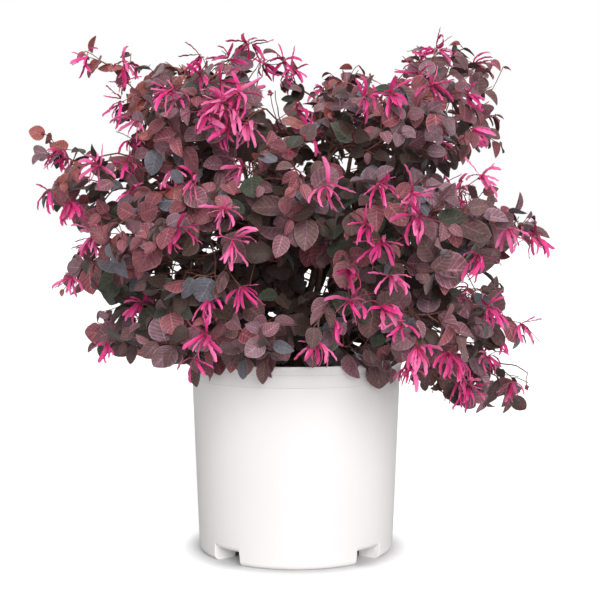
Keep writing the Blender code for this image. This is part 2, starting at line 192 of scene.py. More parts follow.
def finish_piece(piece: Object, replaced: Sequence[str] = ()) -> None:
    """Hands a finished piece to the frame and reports it.

    Args:
        piece: The piece, in place.
        replaced: CAD nodes that it stands for.
    """
    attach(piece, BODY)
    if replaced:
        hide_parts(*replaced)
    triangles = sum(len(face.vertices) - 2 for face in piece.data.polygons)
    log.info("%s: %d triangles, stands for %d nodes", piece.name, triangles, len(replaced))


# Node graphs


class Wire:
    """A socket's value in a node graph, which can be added, scaled and compared like a number."""

    def __init__(self, graph: "Graph", socket: bpy.types.NodeSocket) -> None:
        """Holds the graph and the output socket that carries the value."""
        self.graph = graph
        self.socket = socket

    def maths(self, operation: str, *others: object) -> "Wire":
        """Returns what a Math node makes of this value and the others."""
        return self.graph.out("ShaderNodeMath", dict(enumerate((self, *others))), operation=operation)

    def __add__(self, other: object) -> "Wire":
        """Returns this value plus another."""
        return self.maths("ADD", other)

    def __sub__(self, other: object) -> "Wire":
        """Returns this value less another."""
        return self.maths("SUBTRACT", other)

    def __rsub__(self, other: object) -> "Wire":
        """Returns another value less this one."""
        return (self * -1.0) + other

    def __mul__(self, other: object) -> "Wire":
        """Returns this value times another."""
        return self.maths("MULTIPLY", other)

    __radd__ = __add__
    __rmul__ = __mul__

    def power(self, exponent: float) -> "Wire":
        """Returns this value raised to a power."""
        return self.maths("POWER", exponent)

    def sine(self) -> "Wire":
        """Returns the sine of this value, in radians."""
        return self.maths("SINE")

    def size(self) -> "Wire":
        """Returns this value without its sign."""
        return self.maths("ABSOLUTE")

    def ramp(self, low: float, high: float) -> "Wire":
        """Returns a smooth step from 0 at low to 1 at high."""
        limits = {"Value": self, "From Min": low, "From Max": high}
        return self.graph.out("ShaderNodeMapRange", limits, interpolation_type="SMOOTHSTEP")


class Graph:
    """A node tree written as code: one method adds any node."""

    def __init__(self, tree: bpy.types.NodeTree) -> None:
        """Holds the tree that nodes are added to."""
        self.tree = tree

    def node(self, kind: str, inputs: dict | None = None, **settings: object) -> bpy.types.Node:
        """Adds a node, sets it and then feeds its sockets.

        Args:
            kind: The node's type.
            inputs: Values, or wires to link, by socket identifier, name or number.
            **settings: The node's properties.

        Returns:
            The new node.
        """
        made = self.tree.nodes.new(kind)
        for name, value in settings.items():
            setattr(made, name, value)
        for key, value in (inputs or {}).items():
            socket = self.find(made.inputs, key)
            if isinstance(value, Wire):
                self.tree.links.new(value.socket, socket)
            else:
                socket.default_value = value
        return made

    def out(self, kind: str, inputs: dict | None = None, output: object = 0, **settings: object) -> Wire:
        """Adds a node, as node does, and returns its output of this identifier, name or number."""
        return Wire(self, self.find(self.node(kind, inputs, **settings).outputs, output))

    @staticmethod
    def find(sockets: bpy.types.bpy_prop_collection, key: object) -> bpy.types.NodeSocket:
        """Returns the socket with this identifier or, failing that, this name or number."""
        return next((socket for socket in sockets if socket.identifier == key), None) or sockets[key]


class Shader(Graph):
    """A material's node graph, with the few blocks that the finishes share."""

    def __init__(self, name: str) -> None:
        """Makes an empty material and its graph."""
        self.material = bpy.data.materials.new(name)
        self.material.use_nodes = True
        super().__init__(self.material.node_tree)
        self.tree.nodes.clear()

    def place(self) -> Wire:
        """Returns the point's place on the object, in metres."""
        return self.out("ShaderNodeTexCoord", output="Object")

    def parts(self, vector: Wire) -> tuple[Wire, Wire, Wire]:
        """Returns a vector's three parts."""
        split = self.node("ShaderNodeSeparateXYZ", {0: vector})
        return Wire(self, split.outputs[0]), Wire(self, split.outputs[1]), Wire(self, split.outputs[2])

    def place_parts(self) -> tuple[Wire, Wire, Wire]:
        """Returns the point's X, Y and Z, in metres."""
        return self.parts(self.place())

    def along_and_across(self) -> tuple[Wire, Wire]:
        """Returns the two coordinates of the piece's own UV map."""
        along, across, _ = self.parts(self.out("ShaderNodeUVMap", uv_map="UVMap"))
        return along, across

    def attribute(self, name: str) -> Wire:
        """Returns a number that the mesh carries, such as a leaf's own shade."""
        return self.out("ShaderNodeAttribute", output="Fac", attribute_name=name)

    def grain(self, scale: float, detail: float = 2.0, stretch: Sequence[float] = (1, 1, 1)) -> Wire:
        """Returns a noise from 0 to 1 of a scale per metre, with octaves of detail and a stretch per axis."""
        spot = self.out("ShaderNodeMapping", {"Vector": self.place(), "Scale": stretch})
        return self.out("ShaderNodeTexNoise", {"Vector": spot, "Scale": scale, "Detail": detail})

    def blend(self, share: object, first: object, second: object, mode: str = "MIX") -> Wire:
        """Returns two colours mixed, share being how much of the second or of the mode's effect."""
        inputs = {"Factor_Float": share, "A_Color": first, "B_Color": second}
        return self.out("ShaderNodeMix", inputs, "Result_Color", data_type="RGBA", blend_type=mode)

    def shade(self, colour: object, factor: Wire) -> Wire:
        """Returns a colour made lighter or darker by a factor."""
        grey = self.out("ShaderNodeCombineColor", {"Red": factor, "Green": factor, "Blue": factor})
        return self.blend(1.0, colour, grey, "MULTIPLY")

    def relief(self, height: Wire, depth: float, strength: float = 1.0) -> Wire:
        """Returns a normal bumped by a height from 0 to 1, over a depth in metres."""
        inputs = {"Height": height, "Distance": depth, "Strength": strength}
        return self.out("ShaderNodeBump", inputs)

    def surface(self, **sockets: object) -> Material:
        """Ends the graph in one Principled surface.

        Args:
            **sockets: Its values, named as its sockets with _ for a space.

        Returns:
            The finished material.
        """
        inputs = {name.replace("_", " "): value for name, value in sockets.items()}
        surface = self.out("ShaderNodeBsdfPrincipled", inputs)
        self.node("ShaderNodeOutputMaterial", {"Surface": surface})
        return self.material


# Finishes


@dataclass(frozen=True)
class MouldedPlastic:
    """Satin white plastic with a faint moulded grain and two groove lines whose colour is darkened: painted
    shade.
    """

    colour: Colour = srgb(238, 234, 234)
    roughness: float = 0.30
    grooves: tuple[float, ...] = (0.2188, 0.2342)

    FLOW_SCALE = 9.0
    SCUFF_SCALE = 60.0
    PEEL_SCALE = 900.0

    def material(self) -> Material:
        """Returns the pot's material."""
        shader = Shader("pot_white")
        flow = shader.grain(self.FLOW_SCALE, 3.0, (1, 1, 0.25))
        peel = shader.grain(self.PEEL_SCALE)
        scuffs = shader.grain(self.SCUFF_SCALE, 4.0, (1, 1, 6)).ramp(0.62, 0.78)
        height = shader.place_parts()[2]
        # Each groove line is darkened in colour as well as dipped in relief: painted shade in the groove.
        line = sum(1.0 - (height - groove).size().ramp(0.0002, 0.0009) for groove in self.grooves)
        colour = shader.shade(self.colour, 0.985 + flow * 0.03 - scuffs * 0.02 - line * 0.10)
        return shader.surface(
            Base_Color=colour,
            Roughness=self.roughness + flow * 0.05 + scuffs * 0.12,
            Coat_Weight=0.15,
            Coat_Roughness=0.12,
            Normal=shader.relief(peel * 0.1 + scuffs * -0.05 - line, 0.0003, 0.5),
        )


@dataclass(frozen=True)
class LeafSkin:
    """A leaf's upper skin, matt and finely hairy, with a pale net of veins and a painted highlight along its
    edge.
    """

    name: str
    colour: Colour
    vein: Colour
    roughness: float = 0.52
    sheen: float = 0.20

    SIDE_VEINS = 44.0
    VEIN_SLANT = 11.0
    NET_SCALE = 420.0
    MOTTLE_SCALE = 260.0
    PATCH_SCALE = 60.0
    DEPTH = 0.0006

    def material(self) -> Material:
        """Returns this skin's material."""
        shader = Shader(f"leaf_{self.name}")
        along, across = shader.along_and_across()
        from_rib = (across - 0.5).size() * 2.0
        midrib = 1.0 - from_rib.ramp(0.02, 0.11)
        rows = (along * self.SIDE_VEINS - from_rib * self.VEIN_SLANT).sine() * 0.5 + 0.5
        side_veins = rows.ramp(0.68, 1.0)
        cells = shader.out("ShaderNodeTexVoronoi", {"Vector": shader.place(), "Scale": self.NET_SCALE},
                           "Distance", feature="DISTANCE_TO_EDGE")
        net = 1.0 - cells.ramp(0.02, 0.16)
        veins = (midrib * 0.75 + side_veins * 0.5) * (1.0 + shader.attribute("tone") * 0.4) + net * 0.28
        mottle = shader.grain(self.MOTTLE_SCALE, 3.0)
        patches = shader.grain(self.PATCH_SCALE, 1.0)
        # The paler band along the leaf's edge, blended towards the vein colour, is a painted highlight.
        margin = from_rib.ramp(0.84, 1.0)
        own = 0.94 + shader.attribute("tone") * 0.28 + (mottle - 0.5) * 0.9 + (patches - 0.5) * 0.6
        colour = shader.shade(shader.blend(veins * 0.64 + margin * 0.50, self.colour, self.vein), own)
        return shader.surface(
            Base_Color=colour,
            Roughness=self.roughness + (mottle - 0.5) * 0.14,
            Specular_IOR_Level=0.38,
            Sheen_Weight=self.sheen,
            Sheen_Roughness=0.45,
            Normal=shader.relief(mottle * 0.8 - veins * 0.6, self.DEPTH, 0.8),
        )


@dataclass(frozen=True)
class PetalSkin:
    """A strap petal's skin: soft, faintly streaked and deeper towards its foot, with a painted highlight that
    pales its tip and edges.
    """

    name: str
    colour: Colour
    foot: Colour
    # Colour of the painted highlight on the petal's tip and edges.
    pale: Colour = srgb(252, 158, 202)

    STREAKS = 31.0
    MOTTLE_SCALE = 220.0

    def material(self) -> Material:
        """Returns this skin's material."""
        shader = Shader(f"petal_{self.name}")
        along, across = shader.along_and_across()
        streaks = (across * self.STREAKS).sine() * 0.5 + 0.5
        mottle = shader.grain(self.MOTTLE_SCALE)
        own = 0.95 + shader.attribute("tone") * 0.26 - streaks * 0.10 + (mottle - 0.5) * 0.35
        edges = ((across - 0.5).size() * 2.0).ramp(0.7, 1.0)
        deepened = shader.blend(1.0 - along.ramp(0.0, 0.5), self.colour, self.foot)
        # Tip and edges blend towards the pale colour: a painted highlight.
        pale_painted_highlight = along.ramp(0.55, 1.0) * 0.22 + edges * 0.08
        colour = shader.shade(shader.blend(pale_painted_highlight, deepened, self.pale), own)
        return shader.surface(
            Base_Color=colour,
            Roughness=0.46 + (mottle - 0.5) * 0.1,
            Specular_IOR_Level=0.3,
            Sheen_Weight=0.2,
            Sheen_Roughness=0.4,
            Normal=shader.relief(streaks, 0.0002, 0.4),
        )


@dataclass(frozen=True)
class BudSkin:
    """The dark red skin of a flower bud and its cup."""

    colour: Colour = srgb(132, 24, 48)
    light: Colour = srgb(176, 44, 84)

    MOTTLE_SCALE = 600.0

    def material(self) -> Material:
        """Returns the buds' material."""
        shader = Shader("flower_bud")
        mottle = shader.grain(self.MOTTLE_SCALE)
        colour = shader.blend(mottle.ramp(0.4, 0.7), self.colour, self.light)
        return shader.surface(Base_Color=colour, Roughness=0.5 + mottle * 0.1, Sheen_Weight=0.2,
                              Normal=shader.relief(mottle, 0.0002, 0.5))


@dataclass(frozen=True)
class Bark:
    """Bark with lengthwise streaks, for the limbs or, finer, for the twigs."""

    name: str
    colour: Colour
    ridge: Colour
    grain: float
    depth: float

    def material(self) -> Material:
        """Returns this bark's material."""
        shader = Shader(self.name)
        streaks = shader.grain(self.grain, 4.0, (1, 1, 0.22))
        flecks = shader.grain(self.grain * 4.0).ramp(0.58, 0.70)
        colour = shader.blend(streaks.ramp(0.35, 0.68), self.colour, self.ridge)
        return shader.surface(
            Base_Color=shader.shade(colour, 1.0 - flecks * 0.3),
            Roughness=0.72 + streaks * 0.2,
            Normal=shader.relief(streaks + flecks * 0.3, self.depth, 0.9),
        )


@dataclass(frozen=True)
class Crumb:
    """A rough crumb of the potting mix: composed bark, or perlite where it is pale."""

    name: str
    colour: Colour
    light: Colour

    PATCH_SCALE = 160.0
    PIT_SCALE = 1100.0

    def material(self) -> Material:
        """Returns this crumb's material."""
        shader = Shader(self.name)
        patches = shader.grain(self.PATCH_SCALE, 3.0)
        pits = shader.grain(self.PIT_SCALE)
        colour = shader.blend(patches.ramp(0.35, 0.7), self.colour, self.light)
        return shader.surface(
            Base_Color=shader.shade(colour, 0.8 + pits * 0.4),
            Roughness=0.82 + (pits - 0.5) * 0.2,
            Normal=shader.relief(pits, 0.0004, 0.7),
        )


@dataclass(frozen=True)
class StudioFloor:
    """The pale matt sweep that the pot stands on, glowing white for the camera except in a ring round the
    pot's foot: a painted contact shadow.
    """

    colour: Colour = srgb(216, 216, 216)
    glow: float = 0.62
    painted_contact_shadow_reach: tuple[float, float] = (0.112, 0.158)

    def material(self) -> Material:
        """Returns the floor's material, which glows for the camera only so that it stays white, its glow
        fading out near the pot as a painted contact shadow.
        """
        shader = Shader("studio_floor")
        seen = shader.out("ShaderNodeLightPath", output="Is Camera Ray")
        x, y, _ = shader.place_parts()
        # The glow fades to nothing within this reach of the pot's axis, leaving the floor darker there where
        # the real contact shadow also falls: painted contact shadow.
        clear = (x * x + y * y).power(0.5).ramp(*self.painted_contact_shadow_reach)
        return shader.surface(Base_Color=self.colour, Roughness=0.85 + shader.grain(6.0) * 0.05,
                              Emission_Color=shader.shade(WHITE, seen * clear),
                              Emission_Strength=self.glow)


class LeafTone(Enum):
    """The colours that sprays of leaves are dealt."""

    COPPER = LeafSkin("copper", srgb(146, 74, 70), srgb(198, 124, 118), 0.44, 0.08)
    BURGUNDY = LeafSkin("burgundy", srgb(126, 62, 70), srgb(184, 120, 130), 0.46, 0.12)
    PLUM = LeafSkin("plum", srgb(112, 70, 78), srgb(176, 128, 140))
    # Mauve sprays stand partly for the leaves' paler undersides and partly for light off their hairy upper
    # sides: painted sheen.
    MAUVE = LeafSkin("mauve", srgb(120, 88, 98), srgb(180, 144, 156))
    COCOA = LeafSkin("cocoa", srgb(94, 64, 64), srgb(146, 108, 110))
    SLATE = LeafSkin("slate", srgb(92, 92, 100), srgb(142, 136, 148))
    BOTTLE = LeafSkin("bottle", srgb(60, 64, 52), srgb(98, 102, 86))
    # Near-black leaves for the shrub's inside, its partings and its recesses: painted shade, not a leaf
    # colour.
    UMBER = LeafSkin("umber", srgb(56, 38, 31), srgb(86, 62, 52))


class PetalTone(Enum):
    """The colours that flower heads are dealt."""

    CERISE = PetalSkin("cerise", srgb(230, 56, 140), srgb(176, 20, 88))
    ROSE = PetalSkin("rose", srgb(246, 112, 172), srgb(218, 48, 124))
    MAGENTA = PetalSkin("magenta", srgb(202, 36, 112), srgb(142, 14, 68))


# Geometry trees


class GeometryTree(Graph):
    """A Geometry Nodes tree with named inputs."""

    KINDS = {float: "NodeSocketFloat", int: "NodeSocketInt", str: "NodeSocketMaterial",
             set: "NodeSocketCollection"}

    def __init__(self, name: str, **inputs: type) -> None:
        """Starts the tree.

        Args:
            name: Name of the tree.
            **inputs: Its inputs and their kinds: float, int, str for a material, set for a collection.
        """
        super().__init__(bpy.data.node_groups.new(name, "GeometryNodeTree"))
        self.tree.is_modifier = True
        sockets = self.tree.interface
        sockets.new_socket("Geometry", in_out="INPUT", socket_type="NodeSocketGeometry")
        for label, kind in inputs.items():
            sockets.new_socket(label, in_out="INPUT", socket_type=self.KINDS[kind])
        sockets.new_socket("Geometry", in_out="OUTPUT", socket_type="NodeSocketGeometry")
        self.entry = self.tree.nodes.new("NodeGroupInput")

    def given(self, label: str) -> Wire:
        """Returns one of the tree's inputs."""
        return Wire(self, self.entry.outputs[label])

    def named(self, name: str, kind: str = "FLOAT") -> Wire:
        """Returns a value that the points carry."""
        return self.out("GeometryNodeInputNamedAttribute", {"Name": name}, data_type=kind)

    def random(self, kind: str, ending: str, low: object, high: object, seed: Wire) -> Wire:
        """Returns a random value for each point; ending is what its kind adds to the sockets' identifiers."""
        inputs = {f"Min{ending}": low, f"Max{ending}": high, "Seed": seed}
        return self.out("FunctionNodeRandomValue", inputs, f"Value{ending}", data_type=kind)

    def place(self, points: Wire, choice: Wire, turn: Wire, size: Wire) -> None:
        """Puts shapes of the Shapes collection on points, and ends the tree in them.

        Args:
            points: The points.
            choice: Each point's number among the shapes.
            turn: Each point's turn, as Euler angles.
            size: Each point's scale.
        """
        shapes = self.out("GeometryNodeCollectionInfo", {
            "Collection": self.given("Shapes"), "Separate Children": True, "Reset Children": True})
        placed = self.out("GeometryNodeInstanceOnPoints", {
            "Points": points, "Instance": shapes, "Pick Instance": True, "Instance Index": choice,
            "Rotation": self.out("FunctionNodeEulerToRotation", {"Euler": turn}), "Scale": size})
        self.close(self.out("GeometryNodeRealizeInstances", {"Geometry": placed}))

    def close(self, geometry: Wire) -> None:
        """Dresses the result, shades it smooth and sends it out.

        Args:
            geometry: The geometry.
        """
        inputs = {"Geometry": geometry, "Material": self.given("Material")}
        dressed = self.out("GeometryNodeSetMaterial", inputs)
        smooth = self.out("GeometryNodeSetShadeSmooth", {"Geometry": dressed})
        self.node("NodeGroupOutput", {0: smooth})

    def run(self, source: Object, name: str, **values: object) -> Object:
        """Runs the tree on an object and keeps the plain mesh that comes out.

        Args:
            source: The object that the tree reads; it is removed afterwards.
            name: Name of the new piece.
            **values: The tree's inputs.

        Returns:
            The new piece, at the origin.
        """
        modifier = source.modifiers.new(self.tree.name, "NODES")
        modifier.node_group = self.tree
        for item in self.tree.interface.items_tree:
            if item.in_out == "INPUT" and item.name in values:
                modifier[item.identifier] = values[item.name]
        depsgraph = bpy.context.evaluated_depsgraph_get()
        mesh = bpy.data.meshes.new_from_object(source.evaluated_get(depsgraph),
                                               preserve_all_data_layers=True, depsgraph=depsgraph)
        bpy.data.objects.remove(source)
        mesh.name = name
        return put_in_scene(name, mesh)


def placing_tree() -> GeometryTree:
    """Makes the tree that puts one of several shapes on every point, turned and sized by the point.

    Returns:
        The tree, with inputs Shapes and Material.
    """
    tree = GeometryTree("place_shapes", Shapes=set, Material=str)
    points = tree.out("GeometryNodeMeshToPoints", {"Mesh": tree.given("Geometry")})
    tree.place(points, tree.named("shape", "INT"), tree.named("turn", "FLOAT_VECTOR"),
               tree.named("size", "FLOAT_VECTOR"))
    return tree


def tube_tree() -> GeometryTree:
    """Makes the tree that turns lines of points into round limbs with an uneven skin.

    Returns:
        The tree, with inputs Sides, Step, Relief, Grain and Material.
    """
    tree = GeometryTree("grow_limbs", Sides=int, Step=float, Relief=float, Grain=float, Material=str)
    lines = tree.out("GeometryNodeMeshToCurve", {"Mesh": tree.given("Geometry")})
    stepped = tree.out("GeometryNodeResampleCurve", {"Curve": lines, "Length": tree.given("Step")},
                       mode="LENGTH")
    outline = tree.out("GeometryNodeCurvePrimitiveCircle", {"Resolution": tree.given("Sides"), "Radius": 1.0})
    tube = tree.out("GeometryNodeCurveToMesh", {
        "Curve": stepped, "Profile Curve": outline, "Scale": tree.named("thickness"), "Fill Caps": True})
    rough = tree.out("ShaderNodeTexNoise", {"Scale": tree.given("Grain"), "Detail": 3.0})
    scale = (rough - 0.5) * tree.given("Relief")
    push = tree.out("ShaderNodeVectorMath", {0: tree.out("GeometryNodeInputNormal"), "Scale": scale},
                    operation="SCALE")
    tree.close(tree.out("GeometryNodeSetPosition", {"Geometry": tube, "Offset": push}))
    return tree


def strewing_tree() -> GeometryTree:
    """Makes the tree that strews crumbs over a surface.

    Returns:
        The tree, with inputs Shapes, Density, Smallest, Largest, Seed and Material.
    """
    tree = GeometryTree("strew_crumbs", Shapes=set, Density=float, Smallest=float, Largest=float,
                        Seed=int, Material=str)
    seed, most_shapes = tree.given("Seed"), 99
    spread = tree.out("GeometryNodeDistributePointsOnFaces", {
        "Mesh": tree.given("Geometry"), "Density": tree.given("Density"), "Seed": seed}, "Points")
    turn = tree.random("FLOAT_VECTOR", "", (0, 0, 0), (tau, tau, tau), seed)
    size = tree.random("FLOAT", "_001", tree.given("Smallest"), tree.given("Largest"), seed + 1)
    tree.place(spread, tree.random("INT", "_002", 0, most_shapes, seed + 2), turn, size)
    return tree


class ShapeBox:
    """A collection of small shapes that a geometry tree picks from, in the order they were added."""

    def __init__(self, name: str) -> None:
        """Makes an empty collection in the scene."""
        self.collection = bpy.data.collections.new(name)
        bpy.context.scene.collection.children.link(self.collection)

    def add(self, points: Sequence, faces: Sequence, uvs: Sequence = ()) -> None:
        """Adds one shape.

        Args:
            points: Its points, about the place where it is held.
            faces: Tuples of point numbers.
            uvs: One pair of coordinates for each point, if it has a UV map.
        """
        name = f"{self.collection.name}_{len(self.collection.objects):02d}"
        mesh = bpy.data.meshes.new(name)
        mesh.from_pydata([tuple(p) for p in points], [], list(faces))
        if len(uvs):
            layer = mesh.uv_layers.new(name="UVMap")
            for loop in mesh.loops:
                layer.data[loop.index].uv = uvs[loop.vertex_index]
        mesh.shade_smooth()
        self.collection.objects.link(bpy.data.objects.new(name, mesh))

    def clear(self) -> None:
        """Removes the shapes once every piece that uses them is made."""
        for shape in list(self.collection.objects):
            bpy.data.objects.remove(shape)
        bpy.data.collections.remove(self.collection)


@dataclass
class Placement:
    """Where shapes of one colour go: a place, a turn, a size, a shape number and a shade for each."""

    rows: list[tuple] = field(default_factory=list)

    ATTRIBUTES = (("turn", "FLOAT_VECTOR", "vector"), ("size", "FLOAT_VECTOR", "vector"),
                  ("shape", "INT", "value"), ("tone", "FLOAT", "value"))

    def put(self, place: Vector, way: Vector, face: Vector, size: Sequence[float], shape: int,
            tone: float) -> None:
        """Adds one shape.

        Args:
            place: Where it is held.
            way: The way that it runs, its X axis.
            face: The way that it faces, its Z axis.
            size: Scale along X, Y and Z.
            shape: Number of the shape.
            tone: Its own shade, from -1 to 1.
        """
        axes = Matrix((way, face.cross(way), face)).transposed()
        self.rows.append((tuple(place), tuple(axes.to_euler("XYZ")), tuple(size), shape, tone))

    def build(self, tree: GeometryTree, shapes: ShapeBox, name: str,
              material: Material) -> Object:
        """Puts the shapes down as one piece.

        Args:
            tree: The placing tree.
            shapes: The shapes to pick from.
            name: Name of the piece.
            material: Its finish.

        Returns:
            The piece.
        """
        places, *columns = zip(*self.rows)
        points = mesh_object(f"{name}_points", places, ())
        for (label, kind, key), column in zip(self.ATTRIBUTES, columns):
            points.data.attributes.new(label, kind, "POINT").data.foreach_set(key, np.ravel(column))
        piece = tree.run(points, name, Shapes=shapes.collection, Material=material)
        for spare in ("turn", "size", "shape"):
            if spare in piece.data.attributes:
                piece.data.attributes.remove(piece.data.attributes[spare])
        return piece


# The camera and the studio


@dataclass(frozen=True)
class StudioCamera:
    """A portrait lens at the height of the shrub's middle, straight in front of the pot."""

    distance: float = 1.605
    height: float = 0.414
    pitch: float = 0.0618
    yaw: float = 0.00315
    lens: float = 76.14

    @property
    def eye(self) -> Vector:
        """Returns where the camera stands."""
        return Vector((0.0, -self.distance, self.height))

    def build(self) -> None:
        """Makes the scene's camera."""
        camera = put_in_scene("studio_camera", bpy.data.cameras.new("studio_camera"))
        camera.data.lens = self.lens
        camera.location = self.eye
        camera.rotation_euler = Euler((pi / 2 - self.pitch, 0.0, -self.yaw))
        bpy.context.scene.camera = camera


@dataclass(frozen=True)
class SoftSun:
    """A broad, even light from one direction."""

    name: str
    bearing: float
    elevation: float
    strength: float
    spread: float

    def build(self) -> None:
        """Makes the light."""
        lamp = put_in_scene(self.name, bpy.data.lights.new(self.name, "SUN"))
        lamp.data.energy = self.strength
        lamp.data.angle = radians(self.spread)
        height = radians(self.elevation)
        source = polar(cos(height), radians(self.bearing), sin(height))
        lamp.rotation_euler = (-source).to_track_quat("-Z", "Y").to_euler()


@dataclass(frozen=True)
class Studio:
    """A white backdrop all round, a pale floor and soft light from above and in front."""

    backdrop: float = 1.0
    ambient: float = 0.30
    floor_reach: float = 40.0
    lights: tuple[SoftSun, ...] = (
        SoftSun("key_light", -76.0, 28.0, 2.20, 34.0),
        SoftSun("front_light", -84.0, 2.0, 0.85, 30.0),
        SoftSun("fill_light", -128.0, 24.0, 0.35, 60.0),
        SoftSun("back_light", 82.0, 48.0, 0.85, 50.0),
    )

    def build(self) -> None:
        """Makes the floor, the lights and the white world."""
        corners = ((-1, -1), (1, -1), (1, 1), (-1, 1))
        points = [(x * self.floor_reach, y * self.floor_reach, 0) for x, y in corners]
        floor = mesh_object("studio_floor", points, [(0, 1, 2, 3)])
        floor.data.materials.append(StudioFloor().material())
        for light in self.lights:
            light.build()
        world = bpy.data.worlds.new("studio_white")
        world.use_nodes = True
        world.node_tree.nodes.clear()
        graph = Graph(world.node_tree)
        seen = graph.out("ShaderNodeLightPath", output="Is Camera Ray")
        strength = self.ambient + seen * (self.backdrop - self.ambient)
        light = graph.out("ShaderNodeBackground", {"Color": WHITE, "Strength": strength})
        graph.node("ShaderNodeOutputWorld", {"Surface": light})
        bpy.context.scene.world = world
        bpy.context.scene.view_settings.view_transform = "Standard"


# Pot and potting mix


@dataclass(frozen=True)
class NurseryPot:
    """A thin moulded pot: flared lip, shallow rim band, plain body and a foot ring with four notches."""

    height: float = 0.245
    lip_radius: float = 0.138
    lip_round: float = 0.0007
    top_radius: float = 0.1315
    foot_radius: float = 0.1229
    band_foot: float = 0.219
    band_step: float = 0.0013
    lip_drop: float = 0.0035
    flare_drop: float = 0.013
    wall: float = 0.002
    corner: float = 0.007
    foot_rise: float = 0.016
    foot_depth: float = 0.022
    riser_lean: float = 0.002
    notches: int = 4
    notch_bearing: float = 46.5
    notch_half: float = 9.7
    notch_side: float = 1.0
    foot_spans: int = 26
    drain_radius: float = 0.0055
    drain_reach: float = 0.088
    drain_sides: int = 24
    foot_ease: float = 0.0006
    band_ease: float = 0.0004
    body_heights: tuple[float, ...] = (0.05, 0.09, 0.13, 0.17, 0.205)
    sharp_from: float = 38.0

    CORNER_STEPS = 7

    def body(self, height: float) -> float:
        """Returns the outer radius of the tapering body at a height."""
        return self.foot_radius + (self.top_radius - self.foot_radius) * height / self.band_foot

    def outer_line(self, rise: float) -> list[tuple[float, float]]:
        """Draws the pot's outer line.

        Args:
            rise: How far the foot is lifted: nothing on a foot, foot_rise in a notch.

        Returns:
            Pairs of a radius and a height, from the floor's edge to the lip.
        """
        outer = self.body(0.0) - self.corner
        inner = outer - self.foot_depth
        line = [(inner - self.riser_lean, self.foot_rise),
                (inner - self.foot_ease / 2, rise + self.foot_ease),
                (inner + self.foot_ease, rise), (outer, rise)]
        for step in range(1, self.CORNER_STEPS + 1):
            turn = pi / 2 * step / self.CORNER_STEPS
            height = rise + self.corner * (1 - cos(turn))
            line.append((self.body(height) - self.corner * (1 - sin(turn)), height))
        line.extend((self.body(height), height) for height in (*self.body_heights, self.band_foot))
        band = self.body(self.band_foot) + self.band_step
        line.append((band - self.band_ease / 2, self.band_foot + self.band_ease))
        line.append((band, self.band_foot + self.band_step))
        flare_top = self.height - self.lip_drop
        for step in range(self.CORNER_STEPS + 1):
            share = step / self.CORNER_STEPS
            line.append((band + share ** 2 * (self.lip_radius - band),
                         flare_top - self.flare_drop * (1 - share)))
        for degrees in (0, 30, 60, 90):
            turn = radians(degrees)
            line.append((self.lip_radius - self.lip_round * (1 - cos(turn)),
                         self.height - self.lip_round * (1 - sin(turn))))
        return line

    def inner_line(self) -> list[tuple[float, float]]:
        """Returns the inside's line, from the lip down to the floor's edge."""
        line = []
        for radius, height in reversed(self.outer_line(self.foot_rise)):
            if height > self.foot_rise + self.corner:
                line.append((radius - self.wall, min(height, self.height - 0.0005)))
        line[0] = (self.lip_radius - self.wall, self.height)
        line.append((self.body(0.02) - self.corner, self.foot_rise + self.wall))
        return line

    def bearings(self) -> list[tuple[float, bool]]:
        """Returns the bearings round the pot, in radians, and whether each is in a notch."""
        edge = self.notch_half + self.notch_side
        quarter = [(-edge, False), (-edge + 0.3, False)]
        quarter += [(-self.notch_half + self.notch_half * i / 3, True) for i in range(7)]
        quarter += [(edge - 0.3, False), (edge, False)]
        span = (360.0 / self.notches - 2 * edge) / self.foot_spans
        quarter += [(edge + span * i, False) for i in range(1, self.foot_spans)]
        turns = [self.notch_bearing + 360.0 / self.notches * n for n in range(self.notches)]
        return [(radians(turn + degrees), notch) for turn in turns for degrees, notch in quarter]

    def build(self) -> None:
        """Makes the pot."""
        bearings = self.bearings()
        rows = list(zip(self.outer_line(0.0), self.outer_line(self.foot_rise)))
        rows += [(spot, spot) for spot in self.inner_line()]
        points = [polar(row[notch][0], bearing, row[notch][1]) for row in rows for bearing, notch in bearings]
        points += [Vector((0, 0, self.foot_rise)), Vector((0, 0, self.foot_rise + self.wall))]
        pot = mesh_object("nursery_pot", points, capped_faces(len(rows), len(bearings)))
        pot.data.materials.append(MouldedPlastic().material())
        self.drill(pot)
        pot.data.set_sharp_from_angle(angle=radians(self.sharp_from))
        finish_piece(pot, ["pot"])

    def drill(self, pot: Object) -> None:
        """Cuts a drain hole through the raised floor beside every notch.

        Args:
            pot: The pot, whose mesh is replaced.
        """
        sides, points, faces = self.drain_sides, [], []
        for n in range(self.notches):
            turn = radians(self.notch_bearing + 360.0 / self.notches * n)
            middle = polar(self.drain_reach, turn, self.foot_rise + self.wall / 2)
            first = len(points)
            points.extend(middle + polar(self.drain_radius, tau * i / sides, height)
                          for height in (-self.wall, self.wall) for i in range(sides))
            faces.extend(tuple(first + i for i in quad) for quad in ring_faces(2, sides))
            faces.append(tuple(first + i for i in reversed(range(sides))))
            faces.append(tuple(first + sides + i for i in range(sides)))
        cutter = mesh_object("drain_cutter", points, faces)
        cut = pot.modifiers.new("drains", "BOOLEAN")
        cut.operation = "DIFFERENCE"
        cut.object = cutter
        depsgraph = bpy.context.evaluated_depsgraph_get()
        drilled = bpy.data.meshes.new_from_object(pot.evaluated_get(depsgraph), depsgraph=depsgraph)
        pot.modifiers.remove(cut)
        pot.data = drilled
        bpy.data.objects.remove(cutter)


